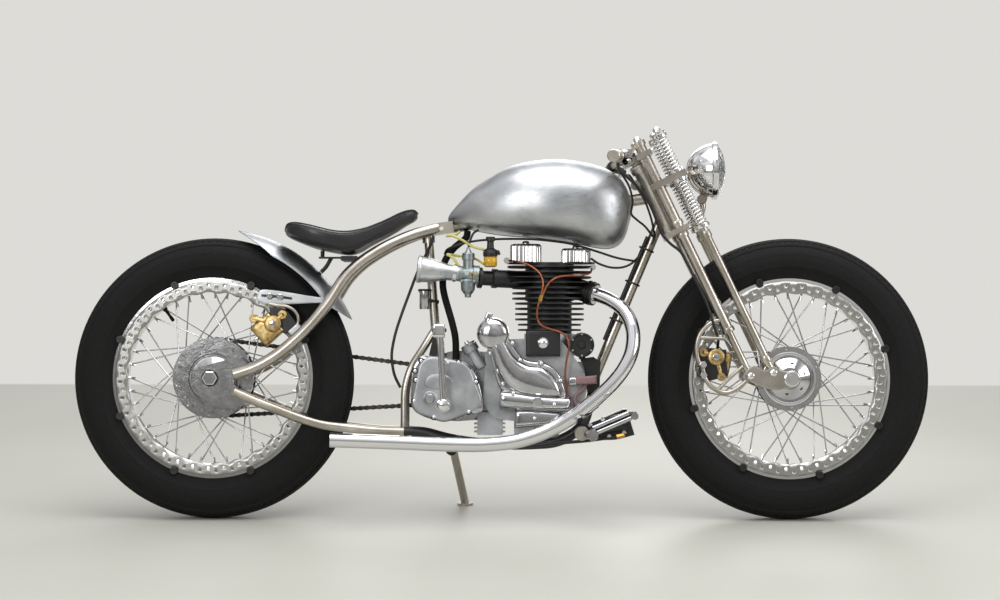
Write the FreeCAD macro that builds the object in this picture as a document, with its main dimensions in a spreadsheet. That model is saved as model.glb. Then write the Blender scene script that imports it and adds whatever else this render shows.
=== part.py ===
import FreeCAD, Part
import math
import os
import Sketcher

# Hardtail bobber motorcycle, in millimetres.
# It is drawn upright: X forward from the rear axle, Y to the rider's left, Z up from the ground.
# At the end every piece is leaned onto the side stand and moved so that the origin lies on the
# ground under the middle of the whole machine.

V = FreeCAD.Vector
doc = FreeCAD.newDocument("Motorcycle")
sheet = doc.addObject("Spreadsheet::Sheet", "Sizes")

SIZES = {
    # stance
    "wheelbase": 1415, "lean_angle": 7, "rake": 25.6, "fork_offset": 101,
    # tyres and rims
    "tyre_radius": 345, "tyre_round": 57, "bead_radius": 229, "bead_half_width": 38,
    "sidewall_foot": 263, "rim_flange_radius": 251, "rim_wall": 4, "rim_well_radius": 215,
    "rim_well_half_width": 18, "rim_fit": 0.3,
    # spokes
    "spoke_radius": 1.75, "spoke_count": 40, "spoke_gap": 0.3,
    # brake discs on the rims
    "disc_outer": 239, "disc_inner": 208, "disc_thickness": 4, "disc_plane": 52,
    "bobbin_circle": 246, "bobbin_radius": 7, "bobbin_count": 8, "bobbin_length": 12,
    # hubs
    "hub_barrel": 32, "hub_half_width": 36, "flange_thickness": 10, "front_flange": 79,
    "rear_flange": 99.5, "front_spoke_circle": 71, "rear_spoke_circle": 91, "hub_dome": 54,
    "hub_dome_width": 16, "axle_radius": 10, "bearing_clearance": 0.05,
    # axles
    "nut_radius": 16, "nut_width": 10, "thread_end": 5, "spacer_radius": 17,
    "spacer_clearance": 0.5, "seat_gap": 0.3,
    # frame tubes
    "rail_radius": 14, "rail_spread": 99, "lower_rail_radius": 11.5, "top_tube_radius": 15,
    "down_tube_radius": 12.5, "seat_tube_radius": 11.5, "cradle_radius": 12, "cradle_spread": 60,
    "lug_x": 560, "lug_z": 715, "lug_length": 52, "lug_width": 52,
    "lug_height": 28, "plate_thickness": 8, "head_radius": 24, "stem_radius": 14,
    "stem_clearance": 0.08, "head_rise": 1, "head_drop": 8, "top_joint_drop": 87,
    "down_joint_rise": 48, "weld_gap": 0.2,
    # engine
    "cylinder_x": 827, "crank_x": 826, "crank_z": 330, "case_half_width": 85, "barrel_radius": 55,
    "fin_radius": 85, "fin_thickness": 4.5, "fin_pitch": 13, "barrel_foot": 455, "barrel_top": 536,
    "head_top": 630, "fin_count": 6, "head_fin_count": 7, "gearbox_x": 562, "gearbox_z": 325,
    "primary_reach": 60,
    # final drive
    "chain_y": 71, "chain_width": 16, "chain_pitch": 15.875, "rear_teeth": 38, "front_teeth": 17,
    "chain_half_height": 6.5, "chain_slot": 8, "sprocket_thickness": 6, "front_sprocket_thickness": 7.4, "tooth_height": 2.5,
    # exhaust
    "exhaust_radius": 17.5, "exhaust_wall": 1.5, "exhaust_bore_depth": 60,
    # bodywork
    "mudguard_radius": 370, "mudguard_half_width": 63, "mudguard_edge": 333, "mudguard_wall": 2,
    "mudguard_front": 23, "mudguard_rear": 81,
    # fork
    "leg_spread": 85, "leg_radius": 13.5, "leg_line": 14, "leg_low": 49, "leg_step": 167,
    "leg_high": 672, "leg_rod_radius": 9, "link_line": 67, "link_radius": 10, "link_low": 32,
    "link_high": 425, "spring_radius": 17.5, "spring_wire": 5, "spring_gap": 1,
    "spring_rod_radius": 5.5, "perch_height": 566, "perch_thickness": 16, "spring_top": 672,
    "eye_radius": 15, "yoke_thickness": 14, "low_yoke": 437, "yoke_spread": 203,
    "rocker_thickness": 8, "rocker_gap": 0.3, "bar_radius": 11, "bar_half": 330, "bar_sweep": 38,
    "bar_drop": 24, "grip_radius": 16, "lamp_radius": 69, "lamp_height": 541,
    "lamp_line": 158, "lens_depth": 32,
    # cables
    "loom_radius": 5, "cable_radius": 2.8, "thin_hose_radius": 3.5,
    # side stand
    "stand_x": 585, "stand_y": 122, "stand_z": 172, "foot_x": 615, "foot_y": 190,
    "stand_radius": 10, "foot_radius": 20, "foot_thickness": 6, "stand_eye_half": 11,
    "stand_eye_radius": 16, "pin_radius": 8, "pin_clearance": 0.05,
}


class Size:
    """A number together with the sheet formula that it comes from."""

    def __init__(self, value, formula):
        self.value = float(value)
        self.formula = formula

    def joined(self, other, sign, result):
        text = other.formula if isinstance(other, Size) else repr(float(other))
        return Size(result, "(%s %s %s)" % (self.formula, sign, text))

    def __float__(self):
        return self.value

    def __add__(self, other):
        return self.joined(other, "+", self.value + float(other))

    def __sub__(self, other):
        return self.joined(other, "-", self.value - float(other))

    def __mul__(self, other):
        return self.joined(other, "*", self.value * float(other))

    def __truediv__(self, other):
        return self.joined(other, "/", self.value / float(other))

    def __neg__(self):
        return Size(-self.value, "(0 - %s)" % self.formula)

    def __radd__(self, other):
        return Size(other, repr(float(other))) + self

    def __rsub__(self, other):
        return Size(other, repr(float(other))) - self

    def __rmul__(self, other):
        return Size(other, repr(float(other))) * self

    def __lt__(self, other):
        return self.value < float(other)

    def __gt__(self, other):
        return self.value > float(other)


class Dimensions:
    """Every size of the sheet as an attribute."""


dim = Dimensions()
for row, (name, number) in enumerate(SIZES.items(), start=1):
    sheet.set("A%d" % row, name)
    sheet.set("B%d" % row, str(number))
    sheet.setAlias("B%d" % row, name)
doc.recompute()
for name in SIZES:
    setattr(dim, name, Size(getattr(sheet, name), "Sizes." + name))

# The headstock fills the space between the yokes, and the frame tubes meet it at these heights.
dim.head_low = dim.low_yoke + dim.yoke_thickness + dim.head_rise
dim.top_yoke = dim.low_yoke + dim.yoke_spread
dim.head_high = dim.top_yoke - dim.head_drop
dim.head_top_joint = dim.head_high - dim.top_joint_drop
dim.head_down_joint = dim.head_low + dim.down_joint_rise

pieces = []


def point(x, y, z):
    return V(float(x), float(y), float(z))


def bind(thing, property_name, size):
    if isinstance(size, Size):
        thing.setExpression(property_name, size.formula)
    else:
        setattr(thing, property_name, size)


def stand_on(thing, start, along):
    thing.Placement = FreeCAD.Placement(start, FreeCAD.Rotation(V(0, 0, 1), along))
    return thing


def rod(radius, start, end):
    """A round bar from one point to another."""
    thing = doc.addObject("Part::Cylinder", "Rod")
    bind(thing, "Radius", radius)
    thing.Height = start.distanceToPoint(end)
    return stand_on(thing, start, end - start)


def disc(radius, thickness, start, along=V(0, 0, 1)):
    """A round plate whose thickness is bound to the sheet."""
    thing = doc.addObject("Part::Cylinder", "Disc")
    bind(thing, "Radius", radius)
    bind(thing, "Height", thickness)
    return stand_on(thing, start, along)


def cone(start_radius, end_radius, start, end):
    thing = doc.addObject("Part::Cone", "Cone")
    bind(thing, "Radius1", start_radius)
    bind(thing, "Radius2", end_radius)
    thing.Height = start.distanceToPoint(end)
    return stand_on(thing, start, end - start)


def ball(radius, centre):
    thing = doc.addObject("Part::Sphere", "Ball")
    bind(thing, "Radius", radius)
    return stand_on(thing, centre, V(0, 0, 1))


def block(low, high):
    """A box between its lowest and highest corners."""
    thing = doc.addObject("Part::Box", "Block")
    thing.Length, thing.Width, thing.Height = high - low
    thing.Placement.Base = low
    return thing


def turned_block(length, width, height, centre, turn):
    """A box about its own centre, turned by a rotation."""
    thing = doc.addObject("Part::Box", "Block")
    bind(thing, "Length", length)
    bind(thing, "Width", width)
    bind(thing, "Height", height)
    half = point(length, width, height) * 0.5
    thing.Placement = FreeCAD.Placement(centre - turn.multVec(half), turn)
    return thing


def fuse(*parts):
    thing = doc.addObject("Part::MultiFuse", "Joined")
    thing.Refine = False
    thing.Shapes = list(parts)
    return thing


def cut(base, tool):
    thing = doc.addObject("Part::Cut", "Cut")
    thing.Refine = False
    thing.Base = base
    thing.Tool = tool
    return thing


def together(*parts):
    """Solids that don't touch, kept as one piece."""
    thing = doc.addObject("Part::Compound", "Set")
    thing.Links = list(parts)
    return thing


def freeform(shape):
    thing = doc.addObject("Part::Feature", "Form")
    thing.Shape = shape
    return thing


def route(points, largest=None):
    """Straight runs joined by tangent arcs, each arc 0.45 of the shorter run beside it."""
    edges = []
    last = points[0]
    for before, corner, after in zip(points, points[1:], points[2:]):
        back = (before - corner).normalize()
        ahead = (after - corner).normalize()
        half_turn = (math.pi - back.getAngle(ahead)) / 2
        reach = 0.45 * min(before.distanceToPoint(corner), after.distanceToPoint(corner))
        if largest is not None:
            reach = min(reach, float(largest) * math.tan(half_turn))
        enter = corner + back * reach
        leave = corner + ahead * reach
        middle = (enter + leave) * 0.5
        inward = (middle - corner).normalize()
        radius = reach / math.tan(half_turn)
        crest = corner + inward * (radius / math.cos(half_turn) - radius)
        edges.append(Part.LineSegment(last, enter).toShape())
        edges.append(Part.Arc(enter, crest, leave).toShape())
        last = leave
    edges.append(Part.LineSegment(last, points[-1]).toShape())
    return Part.Wire(edges)


def swept(points, radius, largest=None):
    """A round bar bent along a route."""
    path = route(points, largest)
    start_direction = points[1] - points[0]
    ring = Part.Wire(Part.Circle(points[0], start_direction, float(radius)).toShape())
    return path.makePipeShell([ring], True, False)


def bent(points, radius, largest=None):
    return freeform(swept(points, radius, largest))


def mirrored(points):
    return [V(p.x, -p.y, p.z) for p in points]


def origin_plane(body, role):
    for feature in body.Origin.OriginFeatures:
        if feature.Role == role:
            return feature


def draw(body, role, outline, offset=0):
    """A closed sketch through bound corners; a third value in a corner is the arc radius to the next."""
    sketch = body.newObject("Sketcher::SketchObject", "Outline")
    sketch.AttachmentSupport = [(origin_plane(body, role), "")]
    sketch.MapMode = "FlatFace"
    sketch.AttachmentOffset = FreeCAD.Placement(point(0, 0, offset), FreeCAD.Rotation())
    count = len(outline)
    for index, corner in enumerate(outline):
        here = point(corner[0], corner[1], 0)
        after = outline[(index + 1) % count]
        there = point(after[0], after[1], 0)
        line = Part.LineSegment(here, there)
        if len(corner) > 2:
            line = arc_between(here, there, float(corner[2]))
        sketch.addGeometry(line, False)
    for index, corner in enumerate(outline):
        start = edge_start(sketch, index, outline)
        end = edge_end(sketch, index - 1, outline)
        sketch.addConstraint(Sketcher.Constraint("Coincident", (index - 1) % count, end, index, start))
        for kind, value in (("DistanceX", corner[0]), ("DistanceY", corner[1])):
            number = sketch.addConstraint(
                Sketcher.Constraint(kind, -1, 1, index, start, float(value)))
            if isinstance(value, Size):
                sketch.setExpression("Constraints[%d]" % number, value.formula)
    for index, corner in enumerate(outline):
        if len(corner) > 2:
            number = sketch.addConstraint(
                Sketcher.Constraint("Radius", index, abs(float(corner[2]))))
            if isinstance(corner[2], Size) and corner[2] > 0:
                sketch.setExpression("Constraints[%d]" % number, corner[2].formula)
    return sketch


def arc_between(here, there, radius):
    """The short arc between two corners; a positive radius bulges to the left of the way."""
    chord = there - here
    half = chord.Length / 2
    back_off = math.sqrt(max(radius * radius - half * half, 0))
    left = V(-chord.y, chord.x, 0).normalize()
    centre = (here + there) * 0.5 - left * math.copysign(back_off, radius)
    first, last = (there, here) if radius > 0 else (here, there)
    start = math.atan2(first.y - centre.y, first.x - centre.x)
    end = math.atan2(last.y - centre.y, last.x - centre.x)
    if end < start:
        end += 2 * math.pi
    return Part.ArcOfCircle(Part.Circle(centre, V(0, 0, 1), abs(radius)), start, end)


def edge_start(sketch, index, outline):
    """An arc's own start is the end that it leaves anticlockwise."""
    here = point(outline[index][0], outline[index][1], 0)
    edge = sketch.Geometry[index]
    return 1 if edge.StartPoint.distanceToPoint(here) < 1e-6 else 2


def edge_end(sketch, index, outline):
    return 3 - edge_start(sketch, index % len(outline), outline)


def turned(name, outline, centre):
    """A body of revolution about the lateral axis through a centre: corners are (lateral, radius)."""
    body = doc.addObject("PartDesign::Body", "Turned")
    sketch = draw(body, "YZ_Plane", outline)
    turn = body.newObject("PartDesign::Revolution", "Turn")
    turn.Profile = sketch
    turn.ReferenceAxis = (sketch, ["H_Axis"])
    turn.Angle = 360
    body.Placement.Base = centre
    return body


def plate(outline, thickness, y):
    """A flat plate across the machine: corners are (x, z), from y towards the right side."""
    body = doc.addObject("PartDesign::Body", "Plate")
    sketch = draw(body, "XZ_Plane", outline, -float(y))
    pad = body.newObject("PartDesign::Pad", "Pad")
    pad.Profile = sketch
    bind(pad, "Length", thickness)
    return body


def belt(circles, extra=0):
    """The closed line that wraps circles (x, z, radius) given anticlockwise as seen from the right."""
    rings = [(float(x), float(z), float(r) + extra) for x, z, r in circles]
    normals = []
    for (x, z, r), (nx, nz, nr) in zip(rings, rings[1:] + rings[:1]):
        heading = math.atan2(nz - z, nx - x)
        normals.append(heading - math.acos((r - nr) / math.hypot(nx - x, nz - z)))
    edges = []
    for index, (x, z, r) in enumerate(rings):
        leave = normals[index]
        enter = normals[index - 1]
        while leave < enter:
            leave += 2 * math.pi
        spots = [V(x + r * math.cos(a), 0, z + r * math.sin(a))
                 for a in (enter, (enter + leave) / 2, leave)]
        edges.append(Part.Arc(*spots).toShape())
        nx, nz, nr = rings[(index + 1) % len(rings)]
        landing = V(nx + nr * math.cos(normals[index]), 0, nz + nr * math.sin(normals[index]))
        edges.append(Part.LineSegment(spots[2], landing).toShape())
    return Part.Wire(edges)


def slab(wire, y_low, y_high, round_edge=0):
    """A plate of a belt's outline between two lateral planes, with rounded rims where asked."""
    low, high = sorted((float(y_low), float(y_high)))
    shape = Part.Face(wire).extrude(V(0, high - low, 0))
    shape.translate(V(0, low, 0))
    if round_edge:
        outer = y_low if abs(float(y_low)) > abs(float(y_high)) else y_high
        rims = [e for e in shape.Edges
                if abs(e.BoundBox.YMin - float(outer)) < 1e-6
                and abs(e.BoundBox.YMax - float(outer)) < 1e-6]
        shape = shape.makeFillet(round_edge, rims)
    return shape


def keep(label, thing):
    """Names a finished piece of the machine."""
    thing.Label = label
    pieces.append(thing)
    return thing


rear_centre = point(0, 0, dim.tyre_radius)
front_centre = point(dim.wheelbase, 0, dim.tyre_radius)
RIGHT = V(0, -1, 0)
LEFT = V(0, 1, 0)

# Fork frame: distances up the steering axis and ahead of it, seen from the side.
rake = math.radians(float(dim.rake))
axis_up = V(-math.sin(rake), 0, math.cos(rake))
axis_ahead = V(math.cos(rake), 0, math.sin(rake))
axis_foot = front_centre - axis_ahead * float(dim.fork_offset)


def fork(up, ahead, y=0):
    return axis_foot + axis_up * float(up) + axis_ahead * float(ahead) + V(0, float(y), 0)


def wheel(end, centre, flange, spoke_circle, cross, first_bobbin):
    """Tyre, rim, laced hub and rim-mounted brake disc of one wheel."""
    crown = dim.tyre_radius - dim.tyre_round
    foot_rise = crown - dim.sidewall_foot
    foot_half = math.sqrt(float(dim.tyre_round) ** 2 - float(foot_rise) ** 2)
    bulge = dim.tyre_round
    tyre_outline = [
        (-dim.bead_half_width, dim.bead_radius + dim.rim_fit),
        (-dim.bead_half_width, dim.rim_flange_radius),
        (-foot_half, dim.sidewall_foot, bulge),
        (-dim.tyre_round, crown, bulge),
        (0, dim.tyre_radius, bulge),
        (dim.tyre_round, crown, bulge),
        (foot_half, dim.sidewall_foot),
        (dim.bead_half_width, dim.rim_flange_radius),
        (dim.bead_half_width, dim.bead_radius + dim.rim_fit),
    ]
    keep(end + "_tyre", turned("tyre", tyre_outline, centre))

    flange_in = dim.bead_half_width + dim.rim_fit
    flange_out = flange_in + dim.rim_wall
    well = dim.rim_well_radius
    step = dim.rim_well_half_width
    rim_outline = [
        (-flange_out, dim.rim_flange_radius), (-flange_in, dim.rim_flange_radius),
        (-flange_in, dim.bead_radius), (-step - 8, dim.bead_radius), (-step, well),
        (step, well), (step + 8, dim.bead_radius), (flange_in, dim.bead_radius),
        (flange_in, dim.rim_flange_radius), (flange_out, dim.rim_flange_radius),
        (flange_out, dim.bead_radius - dim.rim_wall),
        (step + 8, dim.bead_radius - dim.rim_wall), (step, well - dim.rim_wall),
        (-step, well - dim.rim_wall), (-step - 8, dim.bead_radius - dim.rim_wall),
        (-flange_out, dim.bead_radius - dim.rim_wall),
    ]
    keep(end + "_rim", turned("rim", rim_outline, centre))

    bore = dim.axle_radius + dim.bearing_clearance
    wide = dim.hub_half_width
    inner = wide - dim.flange_thickness
    dome = wide + dim.hub_dome_width
    hub_outline = [
        (-dome, bore), (-dome, dim.hub_dome * 0.5), (-wide, dim.hub_dome), (-wide, flange),
        (-inner, flange), (-inner, dim.hub_barrel), (inner, dim.hub_barrel), (inner, flange),
        (wide, flange), (wide, dim.hub_dome), (dome, dim.hub_dome * 0.5), (dome, bore),
    ]
    laced = [turned("hub", hub_outline, centre)]
    rim_reach = float(well - dim.rim_wall - dim.spoke_gap - dim.spoke_radius * 0.45)
    count = int(float(dim.spoke_count))
    for k in range(count):
        side = -1 if k % 2 else 1
        lean = -1 if (k // 2) % 2 else 1
        rim_angle = 2 * math.pi * k / count
        hub_angle = rim_angle + lean * math.radians(cross)
        lateral = float(wide) - 1 if lean > 0 else float(inner) + 1
        hub_spot = centre + V(math.cos(hub_angle) * float(spoke_circle), side * lateral,
                              math.sin(hub_angle) * float(spoke_circle))
        rim_spot = centre + V(math.cos(rim_angle) * rim_reach, side * 6,
                              math.sin(rim_angle) * rim_reach)
        laced.append(rod(dim.spoke_radius, hub_spot, rim_spot))
    keep(end + "_hub", fuse(*laced))

    face = -float(dim.disc_plane)
    ring = disc(dim.disc_outer, dim.disc_thickness, centre + V(0, face, 0), LEFT)
    hole = disc(dim.disc_inner, dim.disc_thickness, centre + V(0, face, 0), LEFT)
    parts = [cut(ring, hole)]
    for k in range(int(float(dim.bobbin_count))):
        angle = math.radians(first_bobbin) + 2 * math.pi * k / float(dim.bobbin_count)
        spot = V(math.cos(angle) * float(dim.bobbin_circle), 0,
                 math.sin(angle) * float(dim.bobbin_circle))
        start = centre + spot + V(0, -float(flange_out + dim.rim_fit), 0)
        parts.append(disc(dim.bobbin_radius, dim.bobbin_length, start, RIGHT))
        ear = centre + spot + V(0, face, 0)
        parts.append(disc(dim.bobbin_radius + 4, dim.disc_thickness, ear, LEFT))
    keep(end + "_brake_disc", fuse(*parts))


wheel("rear", rear_centre, dim.rear_flange, dim.rear_spoke_circle, 40, 22.5)
wheel("front", front_centre, dim.front_flange, dim.front_spoke_circle, 52, 17.4)

# Axles: a bar through the carriers, a nut at each end and spacers that stop short of the hub.
hub_face = dim.hub_half_width + dim.hub_dome_width + dim.spacer_clearance


def axle(centre, carrier_in, carrier_out):
    """Axle bar with nuts outside its carriers and spacers inside them."""
    nut_face = carrier_out + dim.seat_gap
    half = float(nut_face + dim.nut_width + dim.thread_end)
    parts = [rod(dim.axle_radius, centre - V(0, half, 0), centre + V(0, half, 0))]
    for side in (-1, 1):
        along = V(0, side, 0)
        parts.append(disc(dim.nut_radius, dim.nut_width, centre + along * float(nut_face), along))
        length = carrier_in - dim.seat_gap - hub_face
        parts.append(disc(dim.spacer_radius, length, centre + along * float(hub_face), along))
    return fuse(*parts)


plate_in = dim.rail_spread - dim.plate_thickness / 2
rocker_in = dim.leg_spread + dim.eye_radius + dim.rocker_gap
keep("rear_axle", axle(rear_centre, plate_in, plate_in + dim.plate_thickness))
keep("front_axle", axle(front_centre, rocker_in, rocker_in + dim.rocker_thickness))

# Frame. The rails of each side end on a slotted axle plate and meet at the lug under the tank.
lug = point(dim.lug_x, 0, dim.lug_z)
spread = float(dim.rail_spread)
axle_z = float(dim.tyre_radius)
upper_line = [
    V(58, -spread, axle_z + 9), V(108, -spread, axle_z + 25), V(160, -spread, axle_z + 54),
    V(209, -spread + 2, axle_z + 95), V(252, -90, axle_z + 140), V(291, -81, axle_z + 190),
    V(325, -72, axle_z + 248), V(366, -62, axle_z + 287), V(425, -51, axle_z + 324),
    lug + V(-70, -34, -17), lug + V(-8, -16, 0),
]
lower_line = [
    V(58, -spread, axle_z - 33), V(108, -spread, axle_z - 55), V(160, -spread, axle_z - 75),
    V(216, -spread + 3, axle_z - 97), V(270, -88, axle_z - 114), V(330, -76, axle_z - 121),
    V(400, -66, axle_z - 129), V(470, -60, axle_z - 131),
]
top_joint = fork(dim.head_top_joint, 0)
lug_centre = lug + V(4, 0, 0)
top_way = (top_joint - lug_centre).normalize()
lug_turn = FreeCAD.Rotation(V(1, 0, 0), top_way)
lug_block = turned_block(dim.lug_length, dim.lug_width, dim.lug_height, lug_centre, lug_turn)
lug_hole = rod(6, lug + V(0, -40, 0), lug + V(0, 40, 0))
seat_top = lug + V(-31, 0, -36)
seat_foot = V(548, 0, 432)
seat_way = (seat_top - seat_foot).normalize()
socket = rod(dim.seat_tube_radius + 4, seat_top, seat_top + seat_way * 34)


def plate_blank(side, extra=0):
    """The gusset plate between the rail ends of one side, or its slot in the rails when grown."""
    reach = [(-48, -6), (-34, -38), (-6, -68), (62, -76), (96, -58), (52, -6), (98, 28), (70, 54),
             (30, 42), (-30, 26)]
    outline = [(x, dim.tyre_radius + z) for x, z in reach]
    face = side * spread + float(dim.plate_thickness) / 2 + float(extra)
    return plate(outline, dim.plate_thickness + extra * 2, face)


def slot_tools():
    return [plate_blank(side, dim.weld_gap) for side in (-1, 1)]



upper = fuse(bent(upper_line, dim.rail_radius), bent(mirrored(upper_line), dim.rail_radius),
             lug_block, socket)
keep("upper_rails", cut(upper, fuse(lug_hole, *slot_tools())))


def axle_plate(side):
    """A rail end plate with its hole for the axle."""
    y = side * spread
    hole = rod(dim.axle_radius + dim.weld_gap, rear_centre + V(0, y - 10, 0),
               rear_centre + V(0, y + 10, 0))
    return cut(plate_blank(side), hole)


lower = [bent(lower_line, dim.lower_rail_radius), bent(mirrored(lower_line), dim.lower_rail_radius)]
keep("lower_rails", cut(fuse(*lower), fuse(*slot_tools())))
keep("axle_plates", together(axle_plate(-1), axle_plate(1)))

head_low = fork(dim.head_low, 0)
head_high = fork(dim.head_high, 0)
head_bore = rod(dim.stem_radius + dim.stem_clearance, head_low - axis_up * 2, head_high + axis_up * 2)
head_parts = [rod(dim.head_radius, head_low, head_high)]
for height in (dim.head_low, dim.head_high - 18):
    head_parts.append(rod(dim.head_radius + 4, fork(height, 0), fork(height + 18, 0)))
ear = fork(dim.head_high - 40, -dim.head_radius - 8)
head_parts.append(rod(12, ear - V(0, 12, 0), ear + V(0, 12, 0)))
keep("headstock", cut(fuse(*head_parts), head_bore))


def coped(bar):
    """A tube end cut to fit round the headstock."""
    around = rod(dim.head_radius + dim.weld_gap, head_low, head_high)
    collar = rod(dim.head_radius + 4 + dim.weld_gap, head_low, fork(dim.head_low + 18, 0))
    return cut(bar, fuse(around, collar))


top_start = lug_centre + top_way * float(dim.lug_length / 2 + dim.weld_gap)
keep("top_tube", coped(rod(dim.top_tube_radius, top_start, top_joint)))
down_foot = V(938, 0, 346)
down_joint = fork(dim.head_down_joint, 0)
keep("down_tube", coped(rod(dim.down_tube_radius, down_foot, down_joint)))

# Seat tube with the two stays that run down to the lower rails.
stay = [V(545, -6, 468), V(520, -28, 425), V(486, -42, 372), V(471, -47, 318), V(471, -50, 226)]
keep("seat_tube", fuse(rod(dim.seat_tube_radius, seat_top - seat_way * float(dim.weld_gap), seat_foot),
                       bent(stay, 9), bent(mirrored(stay), 9)))

# Side stand: where its foot meets the leaning ground, and the pin that it turns on.
lean = math.radians(float(dim.lean_angle))
ground_normal = V(0, -math.sin(lean), math.cos(lean))
ground_z = float(dim.tyre_round) * (1 - 1 / math.cos(lean))
foot_low = point(dim.foot_x, dim.foot_y, ground_z + float(dim.foot_y) * math.tan(lean))
foot_top = foot_low + ground_normal * float(dim.foot_thickness)
pivot = point(dim.stand_x, dim.stand_y, dim.stand_z)
leg_way = (foot_top - pivot).normalize()
stowed_way = V(-0.985, 0.10, 0.14).normalize()
stand_axis = leg_way.cross(stowed_way).normalize()
eye_face = dim.stand_eye_half + dim.seat_gap

# Black cradle under the engine, from the lower rails to the foot of the down tube.
cradle_y = float(dim.cradle_spread)
rail_way = (lower_line[-1] - lower_line[-2]).normalize()
cradle = [lower_line[-1] + rail_way * float(dim.weld_gap), lower_line[-1] + rail_way * 45,
          V(580, -cradle_y, 194), V(650, -cradle_y, 184), V(760, -cradle_y, 182),
          V(850, -57, 187), V(911, -38, 225), V(936, -14.5, 318)]
bars = [bent(cradle, dim.cradle_radius), bent(mirrored(cradle), dim.cradle_radius)]
bars.append(rod(10, V(902, -58, 212), V(902, 58, 212)))
bars.append(rod(10, V(600, -56, 193), V(600, 56, 193)))
pin_root = pivot - stand_axis * float(eye_face + 4)
arm = rod(9, V(585, cradle_y + 6, 192), pin_root)
bars.append(cut(arm, disc(40, 60, pivot - stand_axis * float(eye_face), stand_axis)))
bars.append(disc(14, 9, pivot - stand_axis * float(eye_face), stand_axis * -1))
bars.append(rod(dim.pin_radius, pin_root, pivot + stand_axis * float(eye_face + 6)))
keep("engine_cradle", fuse(*bars))

# Engine. The closed inside is solid metal; every visible case and cover is a piece of its own.
barrel_foot = float(dim.barrel_foot)
barrel_top = float(dim.barrel_top)
head_top = float(dim.head_top)
cylinder_x = float(dim.cylinder_x)
crank_x = float(dim.crank_x)
crank_z = float(dim.crank_z)
cover_in = 62.0


def covers(*forms):
    """One casting out of several rounded slabs (circles, inner y, outer y, rim fillet)."""
    solids = [slab(belt(circles), y_in, y_out, rim) for circles, y_in, y_out, rim in forms]
    shape = solids[0].multiFuse(solids[1:]).removeSplitter() if len(solids) > 1 else solids[0]
    return freeform(shape)


case_circles = [(722, 300, 57), (crank_x, crank_z - 5, 92), (crank_x, 395, 50), (715, 395, 45)]
case = fuse(covers((case_circles, -cover_in, float(dim.case_half_width), 0)),
            rod(62, V(cylinder_x, 0, 400), V(cylinder_x, 0, barrel_foot)),
            block(V(650, -46, 206), V(712, 46, 262)),
            block(V(740, -46, 200), V(850, 46, 262)),
            block(V(895, -30, 356), V(924, 30, 386)))
fins = [block(V(642, -47, z), V(718, 47, z + 3)) for z in (212, 222, 232, 242)]
keep("crankcase", fuse(case, *fins))

keep("timing_cover", covers(
    ([(689, 454, 38), (689.1, 454.1, 38)], -cover_in - 0.3, -112, 6),
    ([(740, 345, 38), (690, 452, 34)], -cover_in - 0.3, -99, 6),
    ([(742, 328, 40), (812, 322, 46), (818, 332, 48), (760, 348, 36)], -cover_in - 0.3, -106, 8),
    ([(722, 285, 17), (862, 279, 17), (858, 300, 20), (728, 300, 22)], -cover_in - 0.3, -99, 5),
    ([(751, 236, 10), (843, 242, 10), (843, 270, 10), (751, 270, 10)], -cover_in - 0.3, -93, 4)))

keep("tappet_cover", block(V(769, -88, 399), V(853, -62.3, barrel_foot - 3)))

# Barrel and head stand on the case; the fins are round plates on a round core.
core_foot = V(cylinder_x, 0, barrel_foot + float(dim.weld_gap))
barrel = [rod(dim.barrel_radius, core_foot, V(cylinder_x, 0, barrel_top))]
for k in range(int(float(dim.fin_count))):
    z = barrel_foot + 7 + k * float(dim.fin_pitch)
    radius = dim.fin_radius - 7 if k < 2 else dim.fin_radius
    barrel.append(disc(radius, dim.fin_thickness, V(cylinder_x, 0, z)))
keep("cylinder_barrel", fuse(*barrel))

head_foot = barrel_top + float(dim.weld_gap)
head_parts = [rod(60, V(cylinder_x, 0, head_foot), V(cylinder_x, 0, head_top))]
for k in range(int(float(dim.head_fin_count))):
    z = head_foot + 3 + k * float(dim.fin_pitch)
    head_parts.append(disc(dim.fin_radius + 7, dim.fin_thickness, V(cylinder_x, 0, z)))
inlet = V(694, -44, 590)
inlet_way = V(-0.967, -0.25, 0.04).normalize()
outlet = V(928, -25, 555)
outlet_way = V(0.86, -0.43, -0.28).normalize()
head_parts.append(rod(22, inlet - inlet_way * 90, inlet))
head_parts.append(rod(26, outlet - outlet_way * 80, outlet))
keep("cylinder_head", fuse(*head_parts))

rocker_z = head_top + float(dim.weld_gap)
keep("rocker_covers", together(
    block(V(729, -42, rocker_z), V(808, 42, 676)), block(V(855, -42, rocker_z), V(929, 42, 665))))

# Gearbox with its output sprocket on the left, and the kick lever on the right.
box_circles = [(522, 287, 32), (570, 273, 34), (630, 292, 32), (597, 345, 44), (540, 363, 36)]
gearbox_x = float(dim.gearbox_x)
gearbox_z = float(dim.gearbox_z)
pitch = float(dim.chain_pitch)


def pitch_radius(teeth):
    return pitch / (2 * math.sin(math.pi / float(teeth)))


def sprocket(teeth, centre_x, centre_z, thickness):
    """A toothed plate on the chain line: one flat tip for each tooth."""
    count = int(float(teeth))
    inner = pitch_radius(teeth) - float(dim.chain_half_height) + 1
    outer = pitch_radius(teeth) + float(dim.tooth_height) - 2
    corners = []
    for k in range(count):
        for radius, turn in ((inner, 0), (outer, 0.35), (outer, 0.65), (inner, 1)):
            angle = 2 * math.pi * (k + turn) / count
            corners.append(V(centre_x + radius * math.cos(angle), 0,
                             centre_z + radius * math.sin(angle)))
    corners = [c for i, c in enumerate(corners) if c.distanceToPoint(corners[i - 1]) > 0.01]
    face = Part.Face(Part.makePolygon(corners + corners[:1]))
    shape = face.extrude(V(0, float(thickness), 0))
    shape.translate(V(0, float(dim.chain_y - thickness / 2), 0))
    return freeform(shape)


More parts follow.
